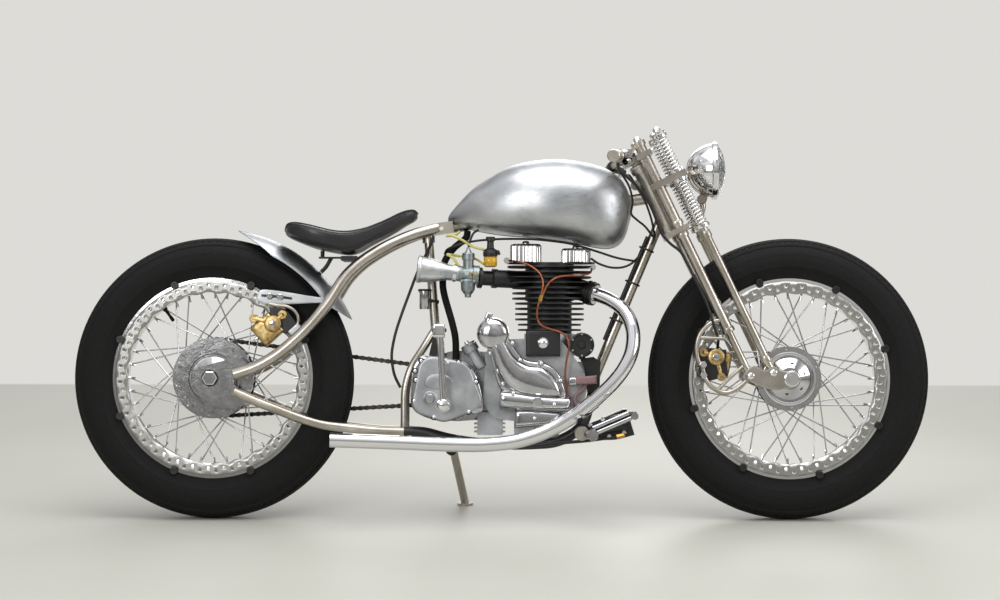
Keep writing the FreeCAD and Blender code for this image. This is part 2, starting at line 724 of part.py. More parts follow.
chain_y = float(dim.chain_y)
shaft_end = float(dim.case_half_width) - 1
keep("gearbox", fuse(
    covers((box_circles, -58, 58, 0)),
    covers((box_circles, -58, -96, 8)),
    block(V(535, -20, 385), V(561, 20, 416)),
    rod(12, V(gearbox_x, 50, gearbox_z), V(gearbox_x, shaft_end, gearbox_z)),
    sprocket(dim.front_teeth, gearbox_x, gearbox_z, dim.front_sprocket_thickness)))

keep("kick_lever", fuse(
    rod(9, V(571, -96.3, 281), V(571, -138, 281)),
    covers(([(570, 281, 14), (563, 440, 10)], -123, -135, 2)),
    block(V(543, -150, 446), V(573, -118, 478))))

keep("primary_chaincase", covers(
    ([(598, 325, 88), (crank_x, crank_z, 76)], float(dim.case_half_width) + 0.3,
     float(dim.case_half_width + dim.primary_reach), 12)))

# Engine plates: the front pair clamps the case to the frame, the rear pair holds the gearbox.
front_plate = [(921, 310), (950, 308), (952, 386), (935, 398), (903, 394), (914, 364)]
rear_plate = [(530, 400), (568, 400), (566, 436), (560, 444), (540, 444)]
plates = []
for outline, half, bolt in ((front_plate, 30.3, V(936, 0, 335)), (rear_plate, 20.3, V(549, 0, 426))):
    for y in (-half, half + 6):
        plates.append(plate(outline, 6, y))
front_bolt = rod(9, V(936, -36, 335), V(936, 36, 335))
rear_bolt = rod(5, V(549, -27, 425), V(549, 27, 425))
keep("engine_plates", together(fuse(plates[0], plates[1], front_bolt),
                               fuse(plates[2], plates[3], rear_bolt)))

# Carburettor on its inlet stub, with the bell-mouth behind it.
carb_y = -58
keep("carburettor", fuse(
    rod(17, inlet + inlet_way * 46, inlet + inlet_way * float(dim.seat_gap)),
    rod(20, V(603, carb_y, 602), V(654, -57, 597)),
    rod(13, V(628, carb_y, 590), V(628, carb_y, 641)),
    rod(15, V(628, carb_y, 640), V(628, carb_y, 653)),
    rod(19, V(627, carb_y, 549), V(627, carb_y, 584)),
    rod(8, V(627, carb_y, 541), V(627, carb_y, 596))))
bell = cone(33, 21, V(520, carb_y, 611), V(602.3, carb_y, 601.8))
mouth = cone(30, 17, V(503, carb_y, 613), V(560, carb_y, 606.6))
lip = rod(34, V(505, carb_y, 612.7), V(527, carb_y, 610.2))
keep("intake_trumpet", cut(fuse(bell, lip), mouth))
keep("fuel_filter", fuse(rod(13, V(684, -66, 616), V(684, -66, 644)),
                         rod(10, V(684, -66, 644), V(684, -66, 660)),
                         rod(3.5, V(684, -66, 622), V(641.4, -58, 624)),
                         rod(3.5, V(684, -66, 655), V(684, -66, 692))))

# Exhaust: a header bends down from the head, and meets the long pipe that runs back under the frame
# and is open at its tail.
exhaust_start = outlet + outlet_way * float(dim.seat_gap)
exhaust_line = [exhaust_start, exhaust_start + outlet_way * 45, V(1002, -65, 520), V(1024, -85, 488),
                V(1032, -100, 448), V(1026, -112, 406), V(1006, -120, 366), V(978, -126, 331),
                V(938, -130, 294), V(898, -132, 262), V(848, -134, 231), V(806, -136, 211),
                V(746, -138, 192), V(666, -140, 184), V(560, -142, 186), V(464, -144, 190),
                V(296, -148, 196)]
tail_way = (exhaust_line[-2] - exhaust_line[-1]).normalize()
tail_bore = rod(dim.exhaust_radius - dim.exhaust_wall, exhaust_line[-1] - tail_way * 2,
                exhaust_line[-1] + tail_way * float(dim.exhaust_bore_depth))
joint = 8
slip = (exhaust_line[joint] + exhaust_line[joint + 1]) * 0.5
slip_way = (exhaust_line[joint + 1] - exhaust_line[joint]).normalize()
header_line = exhaust_line[:joint + 1] + [slip]
pipe_line = [slip + slip_way * float(dim.weld_gap)] + exhaust_line[joint + 1:]
keep("exhaust_header", fuse(bent(header_line, dim.exhaust_radius),
                            rod(24, exhaust_start, exhaust_start + outlet_way * 14)))
keep("exhaust_pipe", cut(bent(pipe_line, dim.exhaust_radius), tail_bore))


def lofted(stations, power):
    """A smooth skin through upright oval sections (x, low z, high z, half width, widest share)."""
    rings = []
    for x, low, high, half, belly in stations:
        waist = low + (high - low) * belly
        spots = []
        for k in range(16):
            angle = 2 * math.pi * k / 16
            c, u = math.cos(angle), math.sin(angle)
            reach = (high - waist) if u > 0 else (waist - low)
            spots.append(V(x, half * math.copysign(abs(c) ** power, c),
                           waist + reach * math.copysign(abs(u) ** power, u)))
        curve = Part.BSplineCurve()
        curve.interpolate(Points=spots, PeriodicFlag=True)
        rings.append(Part.Wire(curve.toShape()))
    return Part.makeLoft(rings, True, False)


tank_stations = [
    (577, 731, 743, 12, 0.4), (590, 724, 762, 28, 0.4), (606, 718, 780, 44, 0.4), (640, 709, 814, 70, 0.4),
    (684, 701, 843, 94, 0.4), (734, 695, 869, 112, 0.4), (785, 692, 881, 124, 0.4),
    (840, 686, 886, 130, 0.4), (894, 677, 881, 130, 0.4), (948, 666, 869, 120, 0.42),
    (985, 667, 852, 102, 0.45), (1012, 690, 824, 74, 0.5), (1027, 735, 796, 34, 0.5)]
tunnel_reach = dim.top_tube_radius + 7
tunnel_start = top_start
tunnel_end = top_joint
tunnel = fuse(rod(tunnel_reach, tunnel_start, tunnel_end),
              turned_block(tunnel_start.distanceToPoint(tunnel_end), tunnel_reach * 2, 160,
                           (tunnel_start + tunnel_end) * 0.5
                           - lug_turn.multVec(V(0, 0, 80)), lug_turn))
lug_room = turned_block(dim.lug_length + 2, dim.lug_width + 2, dim.lug_height + 2, lug_centre, lug_turn)
keep("fuel_tank", cut(freeform(lofted(tank_stations, 0.8)), fuse(tunnel, lug_room)))

seat_stations = [
    (177, 700, 712, 55, 0.5), (188, 690, 724, 86, 0.5), (210, 680, 726, 106, 0.5),
    (241, 667, 719, 118, 0.5), (290, 655, 705, 118, 0.5), (335, 650, 702, 104, 0.5),
    (380, 671, 713, 84, 0.5), (420, 691, 731, 66, 0.5), (455, 712, 749, 52, 0.5),
    (485, 729, 758, 38, 0.5), (501, 738, 752, 20, 0.5)]
keep("saddle", freeform(lofted(seat_stations, 0.6)))
strut_way = V(262, 0, 261).normalize()
keep("saddle_bracket", fuse(
    covers(([(318, 637, 4), (352, 637, 4), (352, 641, 4), (318, 641, 4)], -55, 55, 0)),
    rod(5, V(266, 0, 641), V(266, 0, 659)),
    block(V(258, -20, 640), V(322, 20, 644)),
    bent([rear_centre + strut_way * float(dim.mudguard_radius + dim.seat_gap),
          rear_centre + strut_way * float(dim.mudguard_radius + 18), V(288, 0, 642)], 5)))

# Rear mudguard: one rolled sheet, its section an arc, turned about the rear axle.
rise = dim.mudguard_radius - dim.mudguard_edge
half = dim.mudguard_half_width
section = (half * half + rise * rise) / (rise * 2)
section_centre = dim.mudguard_radius - section
inner_share = (section - dim.mudguard_wall) / section
inner_half = half * inner_share
inner_edge = section_centre + (dim.mudguard_edge - section_centre) * inner_share
skirt = doc.addObject("PartDesign::Body", "Mudguard")
outline = draw(skirt, "YZ_Plane", [
    (-half, dim.mudguard_edge, section), (0, dim.mudguard_radius, section),
    (half, dim.mudguard_edge), (inner_half, inner_edge, -float(section - dim.mudguard_wall)),
    (0, dim.mudguard_radius - dim.mudguard_wall, -float(section - dim.mudguard_wall)),
    (-inner_half, inner_edge)])
sweep = skirt.newObject("PartDesign::Revolution", "Roll")
sweep.Profile = outline
sweep.ReferenceAxis = (outline, ["H_Axis"])
bind(sweep, "Angle", dim.mudguard_rear - dim.mudguard_front)
skirt.Placement = FreeCAD.Placement(
    rear_centre, FreeCAD.Rotation(LEFT, 90 - float(dim.mudguard_rear)))
tabs = [rod(5, V(285, side * 54, 526.5), V(285, side * 67.3, 526.5)) for side in (-1, 1)]
keep("rear_mudguard", fuse(skirt, *tabs))


def caliper(centre, angle):
    """A brake caliper inside the disc ring: two halves joined by a bridge nearer the hub."""
    out = V(math.cos(math.radians(angle)), 0, math.sin(math.radians(angle)))
    turn = FreeCAD.Rotation(V(1, 0, 0), out)
    face = V(0, -float(dim.disc_plane - dim.disc_thickness / 2), 0)
    low = float(dim.disc_inner) - 56
    inner_high = float(dim.disc_inner) + 4
    outer_high = float(dim.disc_outer) - 13
    halves = []
    for high, y, wide in ((inner_high, 13.5, 13), (outer_high, -16.5, 19)):
        spot = centre + face + out * ((low + high) / 2) + V(0, y, 0)
        halves.append(turned_block(high - low, wide, 64, spot, turn))
    slot = turned_block(80, 14, 80, centre + face + out * (float(dim.disc_inner) + 32), turn)
    bridge = turned_block(40, 30, 64, centre + face + out * (low + 20), turn)
    return cut(fuse(*halves, bridge), slot)


rear_caliper = caliper(rear_centre, 41.3)
stay_plate = [(113, 545), (146, 524), (150, 482), (182, 482), (200, 524), (272, 524), (276, 540),
              (204, 545), (115, 562)]
keep("rear_caliper", fuse(rear_caliper, plate(stay_plate, 6, -78),
                          rod(7, V(164, -74, 491), V(164, -80, 491))))

# Drive chain: one fixed loop with the slot that the sprocket teeth run in.
chain_line = [(0, axle_z, pitch_radius(dim.rear_teeth)),
              (gearbox_x, gearbox_z, pitch_radius(dim.front_teeth))]
grow = float(dim.chain_half_height)
thick = float(dim.chain_width) / 2
gap = float(dim.chain_slot) / 2
outer_loop = slab(belt(chain_line, grow), chain_y - thick, chain_y + thick)
inner_loop = slab(belt(chain_line, -grow), chain_y - thick, chain_y + thick)
slot_loop = slab(belt(chain_line, float(dim.tooth_height)), chain_y - gap, chain_y + gap)
keep("drive_chain", freeform(outer_loop.cut(inner_loop).cut(slot_loop)))
carrier = fuse(sprocket(dim.rear_teeth, 0, axle_z, dim.sprocket_thickness),
               rod(40, rear_centre + V(0, float(dim.hub_half_width + dim.hub_dome_width), 0),
                   rear_centre + V(0, chain_y + 4, 0)))
keep("rear_sprocket", cut(carrier, rod(dim.spacer_radius + 2, rear_centre, rear_centre + V(0, 90, 0))))

# Forward foot controls on the cradle's front bar, horn, regulator and pipes.
peg_y = 250


def foot_peg(side):
    return [rod(13, V(929, side * 150, 211), V(929, side * peg_y, 211)),
            bent([V(902, side * 58.3, 212), V(902, side * 80, 212), V(918, side * 108, 211),
                  V(929, side * 152, 211)], 9)]


pedal = covers(([(934, 222, 9), (1018, 258, 8)], -152, -162, 2))
knob = rod(8, V(1030, -156, 256), V(1030, -214, 256))
master = rod(13, V(952, -100, 226), V(1014, -100, 232))
right_foot = fuse(*foot_peg(-1), pedal, knob, rod(9, V(1016, -157, 257), V(1036, -157, 257)),
                  rod(6, V(940, -156, 224), V(958, -100, 227)), master)
left_arm = covers(([(934, 222, 9), (1018, 258, 8)], 152, 162, 2))
left_knob = rod(8, V(1018, 156, 258), V(1018, 214, 258))
left_foot = fuse(*foot_peg(1), left_arm, left_knob)
keep("foot_controls", together(right_foot, left_foot))

keep("horn", together(fuse(rod(27, V(906, -72, 427), V(906, -44, 427)),
                           block(V(902, -46, 395.6), V(912, -31, 440))),
                      block(V(888, -90, 330), V(936, -cover_in - 0.3, 352))))
oil_line = [V(770, -43, 655), V(777, -76, 652), V(794, -99, 624), V(804, -101, 580),
            V(806, -101, 535), V(842, -99, 486), V(880, -88, 446), V(886, -84, 400),
            V(878, -78, 356)]
hose = [V(625, -13, 708.7), V(620, -14, 690), V(590, -17, 664), V(568, -18, 630), V(564, -18, 585),
        V(568, -22, 550), V(588, -32, 480), V(596, -32, 440), V(597, -32, 391.3)]
keep("hoses", together(bent(oil_line, 3), bent(hose, 7)))

# Wiring loom tied behind the down tube, with the leads that join it under the tank.
tube_way = (down_joint - down_foot).normalize()
rearward = V(-tube_way.z, 0, tube_way.x)
loom_side = rearward * 0.766 + V(0, -0.643, 0)
loom_reach = float(dim.down_tube_radius + dim.loom_radius + dim.weld_gap)


def beside_tube(along, reach=loom_reach):
    """A place beside the down tube, at a distance along it from its foot."""
    return down_foot + tube_way * along + loom_side * reach


loom = [rod(dim.loom_radius, beside_tube(96), beside_tube(372))]
for along in (150, 250, 340):
    loom.append(rod(dim.down_tube_radius + 7, beside_tube(along, 5), beside_tube(along + 4, 5)))
loom.append(bent([V(929.4, -24, 640), V(945, -30, 628), V(975, -34, 617), V(1005, -30, 617),
                  V(1028, -22, 626), beside_tube(322)], dim.cable_radius))
loom.append(bent([V(568.5, -9, 652), V(574, -30, 662), V(596, -46, 671), V(640, -50, 682), V(700, -50, 687),
                  V(790, -52, 687), V(880, -54, 676), V(945, -46, 656), V(995, -30, 640),
                  beside_tube(306)], dim.cable_radius))
sleeve = rod(dim.down_tube_radius + dim.weld_gap, down_foot + tube_way * 60, down_foot + tube_way * 400)
keep("wiring_loom", cut(fuse(*loom), sleeve))

# Breather hose behind the seat tube, and the throttle cable between the carburettor and the tank.
keep("breather_hose", bent([V(541, -24, 695.2), V(536, -24, 678), V(520, -19, 644), V(500, -16, 604),
                            V(484, -20, 560), V(466, -32, 510), V(448, -44, 455), V(438, -48, 400),
                            V(446, -48, 352), V(461.6, -47, 322)], dim.thin_hose_radius))
keep("throttle_cable", bent([V(628, -58, 653.4), V(629, -58, 676), V(640, -54, 702), V(652, -46, 708.6)],
                            dim.cable_radius))

# Fork. Rigid legs carry the yokes, the sprung links carry the rockers and the axle.
def both(make):
    return [make(-1), make(1)]


spread_leg = float(dim.leg_spread)


def main_leg(side):
    y = side * spread_leg
    eye = fork(dim.leg_low, dim.leg_line, y)
    across = V(0, float(dim.eye_radius) * side, 0)
    return fuse(rod(dim.leg_radius, fork(dim.leg_step, dim.leg_line, y),
                    fork(dim.leg_high, dim.leg_line, y)),
                rod(dim.leg_rod_radius, eye, fork(dim.leg_step, dim.leg_line, y)),
                rod(dim.eye_radius, eye - across, eye + across),
                rod(dim.leg_radius + 3, fork(dim.leg_high - 2, dim.leg_line, y),
                    fork(dim.leg_high + 10, dim.leg_line, y)))


def spring_leg(side):
    y = side * spread_leg
    eye = fork(dim.link_low, dim.link_line, y)
    across = V(0, float(dim.eye_radius) * side, 0)
    top = dim.spring_top + dim.spring_gap
    return fuse(rod(dim.link_radius, eye, fork(dim.link_high, dim.link_line, y)),
                rod(dim.eye_radius, eye - across, eye + across),
                rod(dim.spring_radius, fork(dim.link_high, dim.link_line, y),
                    fork(dim.link_high + 6, dim.link_line, y)),
                rod(dim.spring_rod_radius, fork(dim.link_high, dim.link_line, y),
                    fork(top + 10, dim.link_line, y)),
                rod(dim.spring_radius, fork(top, dim.link_line, y),
                    fork(top + 8, dim.link_line, y)))


keep("fork_legs", together(*both(main_leg)))
keep("spring_legs", together(*both(spring_leg)))


def coil(low, high, side):
    """A spring as a ribbed sleeve round its rod."""
    count = int((float(high) - float(low)) / 9)
    y = side * spread_leg
    parts = [rod(dim.spring_radius - dim.spring_wire, fork(low, dim.link_line, y),
                 fork(high, dim.link_line, y))]
    step = (float(high) - float(low)) / count
    for k in range(count):
        start = float(low) + k * step
        parts.append(rod(dim.spring_radius, fork(start, dim.link_line, y),
                         fork(start + float(dim.spring_wire), dim.link_line, y)))
    hole = rod(dim.spring_rod_radius + dim.seat_gap, fork(float(low) - 2, dim.link_line, y),
               fork(float(high) + 2, dim.link_line, y))
    return cut(fuse(*parts), hole)


perch_low = dim.perch_height - dim.perch_thickness / 2
perch_high = dim.perch_height + dim.perch_thickness / 2
coils = []
for side in (-1, 1):
    coils.append(coil(dim.link_high + 6 + dim.seat_gap, perch_low - dim.seat_gap, side))
    coils.append(coil(perch_high + dim.seat_gap, dim.spring_top + dim.spring_gap - dim.seat_gap, side))
keep("fork_springs", together(*coils))

fork_turn = FreeCAD.Rotation(V(0, 0, 1), axis_up)


def crosspiece(low, high, back, front, half_width):
    """A plate square to the steering axis between two heights."""
    centre = fork((low + high) / 2, (back + front) / 2)
    return turned_block(front - back, half_width * 2, high - low, centre, fork_turn)


def leg_holes(low, high):
    holes = []
    for side in (-1, 1):
        y = side * spread_leg
        holes.append(rod(dim.leg_radius + dim.weld_gap, fork(low, dim.leg_line, y),
                         fork(high, dim.leg_line, y)))
        holes.append(rod(dim.spring_rod_radius + dim.weld_gap, fork(low, dim.link_line, y),
                         fork(high, dim.link_line, y)))
    return fuse(*holes)


low_yoke = float(dim.low_yoke)
top_yoke = float(dim.top_yoke)
yoke = float(dim.yoke_thickness)
side_reach = spread_leg + 20
low_bridge = cut(crosspiece(low_yoke, low_yoke + yoke, -22, 36, side_reach),
                 leg_holes(low_yoke - 5, low_yoke + yoke + 5))
top_bridge = cut(fuse(crosspiece(top_yoke, top_yoke + yoke, -6, 34, side_reach),
                      crosspiece(top_yoke, top_yoke + yoke, -38, 0, 45)),
                 leg_holes(top_yoke - 5, top_yoke + yoke + 5))
perch = cut(fuse(crosspiece(float(perch_low), float(perch_high), 36, 88, side_reach),
                 *[turned_block(82, 40, dim.perch_thickness,
                                fork(dim.perch_height, 36, side * spread_leg), fork_turn)
                   for side in (-1, 1)]),
            leg_holes(float(perch_low) - 5, float(perch_high) + 5))
stem = rod(dim.stem_radius, fork(low_yoke + 2, 0), fork(top_yoke + 4, 0))
keep("fork_yokes", together(fuse(low_bridge, top_bridge, stem, rod(20, fork(dim.head_high + 1, 0),
                                                                   fork(top_yoke + 2, 0))), perch))


def rocker(side):
    """The plate that hangs the axle from the two legs, with its pivot bolts."""
    spots = [fork(0, dim.fork_offset), fork(dim.link_low, dim.link_line),
             fork(dim.leg_low, dim.leg_line), fork(8, 40)]
    circles = [(spots[3].x, spots[3].z, 12), (spots[0].x, spots[0].z, 22),
               (spots[1].x, spots[1].z, 15), (spots[2].x, spots[2].z, 16)]
    y_in = side * float(rocker_in)
    y_out = side * float(rocker_in + dim.rocker_thickness)
    bolts = [rod(9, V(s.x, y_out, s.z), V(s.x, y_out + side * 8, s.z)) for s in spots[1:3]]
    hole = rod(dim.axle_radius + dim.weld_gap, front_centre + V(0, y_in - side, 0),
               front_centre + V(0, y_out + side, 0))
    return cut(fuse(covers((circles, y_in, y_out, 0)), *bolts), hole)


keep("rockers", together(*both(rocker)))

bar_centre = fork(dim.top_yoke + 30, -24)
bar_end = bar_centre + V(-float(dim.bar_sweep), 0, -float(dim.bar_drop))
bar_half = float(dim.bar_half)
bar_line = [bar_end + V(0, -bar_half, 0), bar_end + V(10, -bar_half + 90, 6),
            bar_centre + V(-4, -90, -2), bar_centre + V(0, -45, 0)]
bar_route = bar_line + mirrored(bar_line)[::-1]
clamps = [turned_block(26, 22, 24, fork(top_yoke + yoke + 12.3, -24, y), fork_turn) for y in (-32, 32)]
grips = []
for side, line in ((-1, bar_line), (1, mirrored(bar_line))):
    way = (line[1] - line[0]).normalize()
    grips.append(rod(dim.grip_radius, line[0], line[0] + way * 90))
    perch_spot = line[1] + (line[2] - line[1]) * 0.18
    grips.append(rod(16, perch_spot - V(0, 12, 0), perch_spot + V(0, 12, 0)))
    grips.append(bent([perch_spot + V(10, 0, 0), perch_spot + V(38, side * 20, -6),
                       line[0] + V(40, side * -20, -8)], 5))
keep("handlebar", fuse(bent(bar_route, dim.bar_radius), *clamps, *grips))

lamp_centre = fork(dim.lamp_height, dim.lamp_line)
lamp_radius = float(dim.lamp_radius)
shell = ball(dim.lamp_radius, lamp_centre)
shell.Angle1 = 0
shell.Placement = FreeCAD.Placement(lamp_centre, FreeCAD.Rotation(V(0, 0, 1), V(-1, 0, 0)))
lamp_foot = lamp_centre + V(-28, 0, -lamp_radius + 4)
lamp_root = fork(low_yoke + yoke / 2, 36.3)
bracket = bent([lamp_root, fork(low_yoke + yoke / 2, 70), fork(478, 96), lamp_foot], 6.5)
keep("headlight", fuse(shell, disc(lamp_radius + 3, 7, lamp_centre, V(1, 0, 0)), bracket))
depth = float(dim.lens_depth) - 7
lens_radius = (lamp_radius ** 2 + depth ** 2) / (2 * depth)
lens = ball(lens_radius, lamp_centre + V(7.2 - lens_radius + depth, 0, 0))
lens.Angle1 = math.degrees(math.asin((lens_radius - depth) / lens_radius))
lens.Placement = FreeCAD.Placement(lens.Placement.Base, FreeCAD.Rotation(V(0, 0, 1), V(1, 0, 0)))
keep("headlight_lens", lens)

# Hose from the right lever's cylinder, round the lower yoke and down the leg to the front caliper.
keep("front_brake_hose", bent([V(989.2, -213, 863.6), V(991, -212.4, 846), V(1013, -192, 829),
                               V(1044, -157, 804), V(1070, -132, 768), V(1086, -115, 730), V(1097, -108, 699),
                               V(1120, -100, 673), V(1147, -96, 655), V(1190, -96, 570), V(1213, -97.5, 520),
                               V(1228, -98, 470), V(1238, -92, 440), V(1237.6, -74, 427), V(1236.8, -66, 418)],
                              dim.thin_hose_radius))

bracket_y = -83
front_caliper = caliper(front_centre, 168)
upper_arm = [fork(199, dim.leg_line - dim.leg_radius - dim.weld_gap, bracket_y),
             V(1210, bracket_y, 467.5), V(1190, bracket_y, 436), V(1186, bracket_y, 400),
             V(1204, bracket_y, 368)]
lower_arm = [V(1204, bracket_y, 366), V(1212, bracket_y, 338), V(1246, bracket_y, 318),
             V(1274, bracket_y, 324), V(1302.6, bracket_y, 343.1)]
hanger = plate([(1196, 345), (1214, 345), (1262, 372), (1262, 396), (1214, 396), (1196, 390)], 6, -80)
keep("front_caliper", fuse(front_caliper, bent(upper_arm, 6), bent(lower_arm, 6), hanger,
                           rod(8, V(1246, -74, 383), V(1246, -84, 383))))

# Side stand: a leg with a round foot pad and the eye that turns on the pin.
eye = stand_axis * float(dim.stand_eye_half)
pin_hole = rod(dim.pin_radius + dim.pin_clearance, pivot - eye * 1.5, pivot + eye * 1.5)
keep("side_stand", cut(fuse(
    disc(dim.foot_radius, dim.foot_thickness, foot_low, ground_normal),
    rod(dim.stand_radius, pivot + leg_way * 6, foot_top + leg_way * 2),
    rod(dim.stand_eye_radius, pivot - eye, pivot + eye)), pin_hole))

# Lean every piece onto the stand, with the origin on the ground under the middle of the machine.
doc.recompute()
for thing in doc.Objects:
    if "Invalid" in thing.State or "Error" in thing.State:
        raise RuntimeError("%s failed to build" % thing.Label)
for piece in pieces:
    if piece.Shape.isNull() or not piece.Shape.isValid():
        raise RuntimeError("%s has no valid shape" % piece.Label)

upright = FreeCAD.Rotation(V(1, 0, 0), -float(dim.lean_angle))
lift = float(dim.tyre_round) * (1 - math.cos(lean))
leaned = FreeCAD.Placement(V(0, 0, lift), upright)
reach = FreeCAD.BoundBox()
for piece in pieces:
    shape = piece.Shape.copy()
    shape.Placement = leaned.multiply(shape.Placement)
    reach.add(shape.optimalBoundingBox(False))
middle = V(reach.Center.x, reach.Center.y, 0)
stance = FreeCAD.Placement(V(0, 0, lift) - middle, upright)
for piece in pieces:
    piece.Placement = stance.multiply(piece.Placement)
doc.recompute()

os.makedirs("parts", exist_ok=True)
for piece in pieces:
    piece.Shape.exportStep("parts/%s.step" % piece.Label)


def shown(name, spot, direction=None):
    """Prints a mount's or a joint's place and direction as the machine stands."""
    place = stance.multVec(spot) / 1000
    text = "%s at %.5f %.5f %.5f" % (name, place.x, place.y, place.z)
    if direction is not None:
        way = upright.multVec(direction)
        text += " along %.6f %.6f %.6f" % (way.x, way.y, way.z)
    print(text)


shown("front wheel", front_centre, LEFT)
shown("rear wheel", rear_centre, LEFT)
shown("steering", fork(dim.head_low, 0), axis_up)
shown("side stand", pivot, stand_axis)
shown("bar grip right", bar_line[0], (bar_line[0] - bar_line[1]).normalize())
shown("bar grip left", mirrored(bar_line)[0], mirrored([bar_line[0] - bar_line[1]])[0].normalize())
shown("exhaust tail", exhaust_line[-1], tail_way * -1)
shown("foot peg right", V(929, -peg_y, 211), RIGHT)
shown("foot peg left", V(929, peg_y, 211), LEFT)
shown("saddle top", V(290, 0, 705), V(0, 0, 1))
print("stand opening", round(math.degrees(leg_way.getAngle(stowed_way)), 2))
print("origin lies under", round(middle.x, 3), round(middle.y, 3))
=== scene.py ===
import math

import bmesh
import bpy
import numpy as np
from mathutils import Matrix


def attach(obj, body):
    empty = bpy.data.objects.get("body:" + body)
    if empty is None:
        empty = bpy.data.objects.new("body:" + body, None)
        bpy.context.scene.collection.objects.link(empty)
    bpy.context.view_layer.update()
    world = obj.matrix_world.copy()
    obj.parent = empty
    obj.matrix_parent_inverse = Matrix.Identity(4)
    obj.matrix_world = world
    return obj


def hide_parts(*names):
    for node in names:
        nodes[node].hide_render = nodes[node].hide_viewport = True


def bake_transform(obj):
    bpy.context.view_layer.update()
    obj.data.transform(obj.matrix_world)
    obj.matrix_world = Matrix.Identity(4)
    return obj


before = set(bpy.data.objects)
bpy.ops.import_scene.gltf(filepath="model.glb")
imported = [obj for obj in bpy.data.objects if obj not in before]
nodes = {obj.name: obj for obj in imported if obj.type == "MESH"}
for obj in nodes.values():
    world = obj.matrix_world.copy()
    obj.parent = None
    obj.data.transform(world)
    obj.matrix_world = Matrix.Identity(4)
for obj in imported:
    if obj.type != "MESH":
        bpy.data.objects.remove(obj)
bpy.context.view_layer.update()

# Camera, lamps and floor.
# A long lens looks at the machine's right side from seven metres away, a little above its tank.
# Broad lamps light it from above, the world is pale over a dark ground, and the floor meets a pale
# wall a little behind the machine.
scene = bpy.context.scene
scene.view_settings.view_transform = "Standard"
lens = bpy.data.cameras.new("camera")
lens.lens = 100.0
lens.sensor_width = 36.0
lens.clip_end = 60.0
camera = bpy.data.objects.new("camera", lens)
camera.location = (0.0721, -6.8677, 1.2198)
camera.rotation_euler = (math.radians(90 - 5.731), 0.0, math.radians(0.627))
scene.collection.objects.link(camera)
scene.camera = camera


def linear(code):
    """An sRGB hex colour as linear RGBA: each channel c becomes ((c + 0.055) / 1.055) to the power 2.4."""
    channels = np.array([int(code[i:i + 2], 16) for i in (1, 3, 5)]) / 255
    low = channels / 12.92
    high = ((channels + 0.055) / 1.055) ** 2.4
    return (*np.where(channels <= 0.04045, low, high), 1.0)


def add(tree, kind, inputs=None, **settings):
    """Adds a node, sets its properties, and gives each named input a value or a link."""
    node = tree.nodes.new(kind)
    for key, value in settings.items():
        setattr(node, key, value)
    for key, value in (inputs or {}).items():
        if isinstance(value, bpy.types.NodeSocket):
            tree.links.new(value, node.inputs[key])
        else:
            node.inputs[key].default_value = value
    return node


world = bpy.data.worlds.new("studio")
scene.world = world
world.use_nodes = True
sky = world.node_tree
sky.nodes.clear()
sky_way = add(sky, "ShaderNodeTexCoord")
sky_split = add(sky, "ShaderNodeSeparateXYZ", {"Vector": sky_way.outputs["Generated"]})
sky_height = add(sky, "ShaderNodeMapRange", {"Value": sky_split.outputs["Z"], "From Min": -1.0})
sky_ramp = add(sky, "ShaderNodeValToRGB", {"Fac": sky_height.outputs["Result"]})
sky_ramp.color_ramp.elements[0].color = linear("#4a4846")
sky_ramp.color_ramp.elements[1].color = linear("#f2f2f4")
for place, colour in ((0.47, "#5d5b58"), (0.53, "#a3a19c"), (0.68, "#b4b3b1"), (0.74, "#dededf")):
    sky_ramp.color_ramp.elements.new(place).color = linear(colour)
# A hall's pillars and bays make the light uneven round the machine, which metal shows as dark streaks.
sky_bays = add(sky, "ShaderNodeTexNoise",
               {"Vector": sky_way.outputs["Generated"], "Scale": 2.4, "Detail": 1.0})
sky_strength = add(sky, "ShaderNodeMapRange",
                   {"Value": sky_bays.outputs["Fac"], "From Min": 0.38, "From Max": 0.62, "To Min": 0.5,
                    "To Max": 1.35})
sky_light = add(sky, "ShaderNodeBackground",
                {"Color": sky_ramp.outputs["Color"], "Strength": sky_strength.outputs["Result"]})
wall_tone = linear("#dddcd8")
sky_seen = add(sky, "ShaderNodeBackground", {"Color": wall_tone, "Strength": 1.0})
sky_ray = add(sky, "ShaderNodeLightPath")
sky_mix = add(sky, "ShaderNodeMixShader",
              {0: sky_ray.outputs["Is Camera Ray"], 1: sky_light.outputs[0], 2: sky_seen.outputs[0]})
add(sky, "ShaderNodeOutputWorld", {"Surface": sky_mix.outputs[0]})

for name, place, aim, size, power in (
        ("lamp_above", (0.2, -0.6, 3.4), (0, 0, 0.4), 3.2, 95),
        ("lamp_right", (-1.8, -3.8, 1.9), (0, 0, 0.4), 1.6, 48),
        ("lamp_front", (3.4, -1.6, 1.7), (0.4, 0, 0.5), 1.4, 34),
        ("lamp_left", (0.4, 3.6, 2.2), (0, 0, 0.5), 2.0, 40)):
    lamp = bpy.data.lights.new(name, "AREA")
    lamp.size = size
    lamp.energy = power
    holder = bpy.data.objects.new(name, lamp)
    holder.location = place
    way = np.array(aim, float) - np.array(place, float)
    flat = math.hypot(way[0], way[1])
    holder.rotation_euler = (math.atan2(flat, -way[2]), 0, math.atan2(way[1], way[0]) - math.pi / 2)
    scene.collection.objects.link(holder)


lean = math.radians(7)
half_wheelbase = 707.5
middle_beside, middle_above = 106.587, -0.425


def leaned(points):
    """Upright millimetres (x ahead of the rear axle, y to the left, z up) as leaning metres:
    a turn of 7 degrees about X and the shift that puts the machine's middle on the origin."""
    p = np.asarray(points, float)
    c, s = math.cos(lean), math.sin(lean)
    y = p[..., 1] * c + p[..., 2] * s - middle_beside
    z = p[..., 2] * c - p[..., 1] * s - middle_above
    return np.stack([p[..., 0] - half_wheelbase, y, z], -1) / 1000


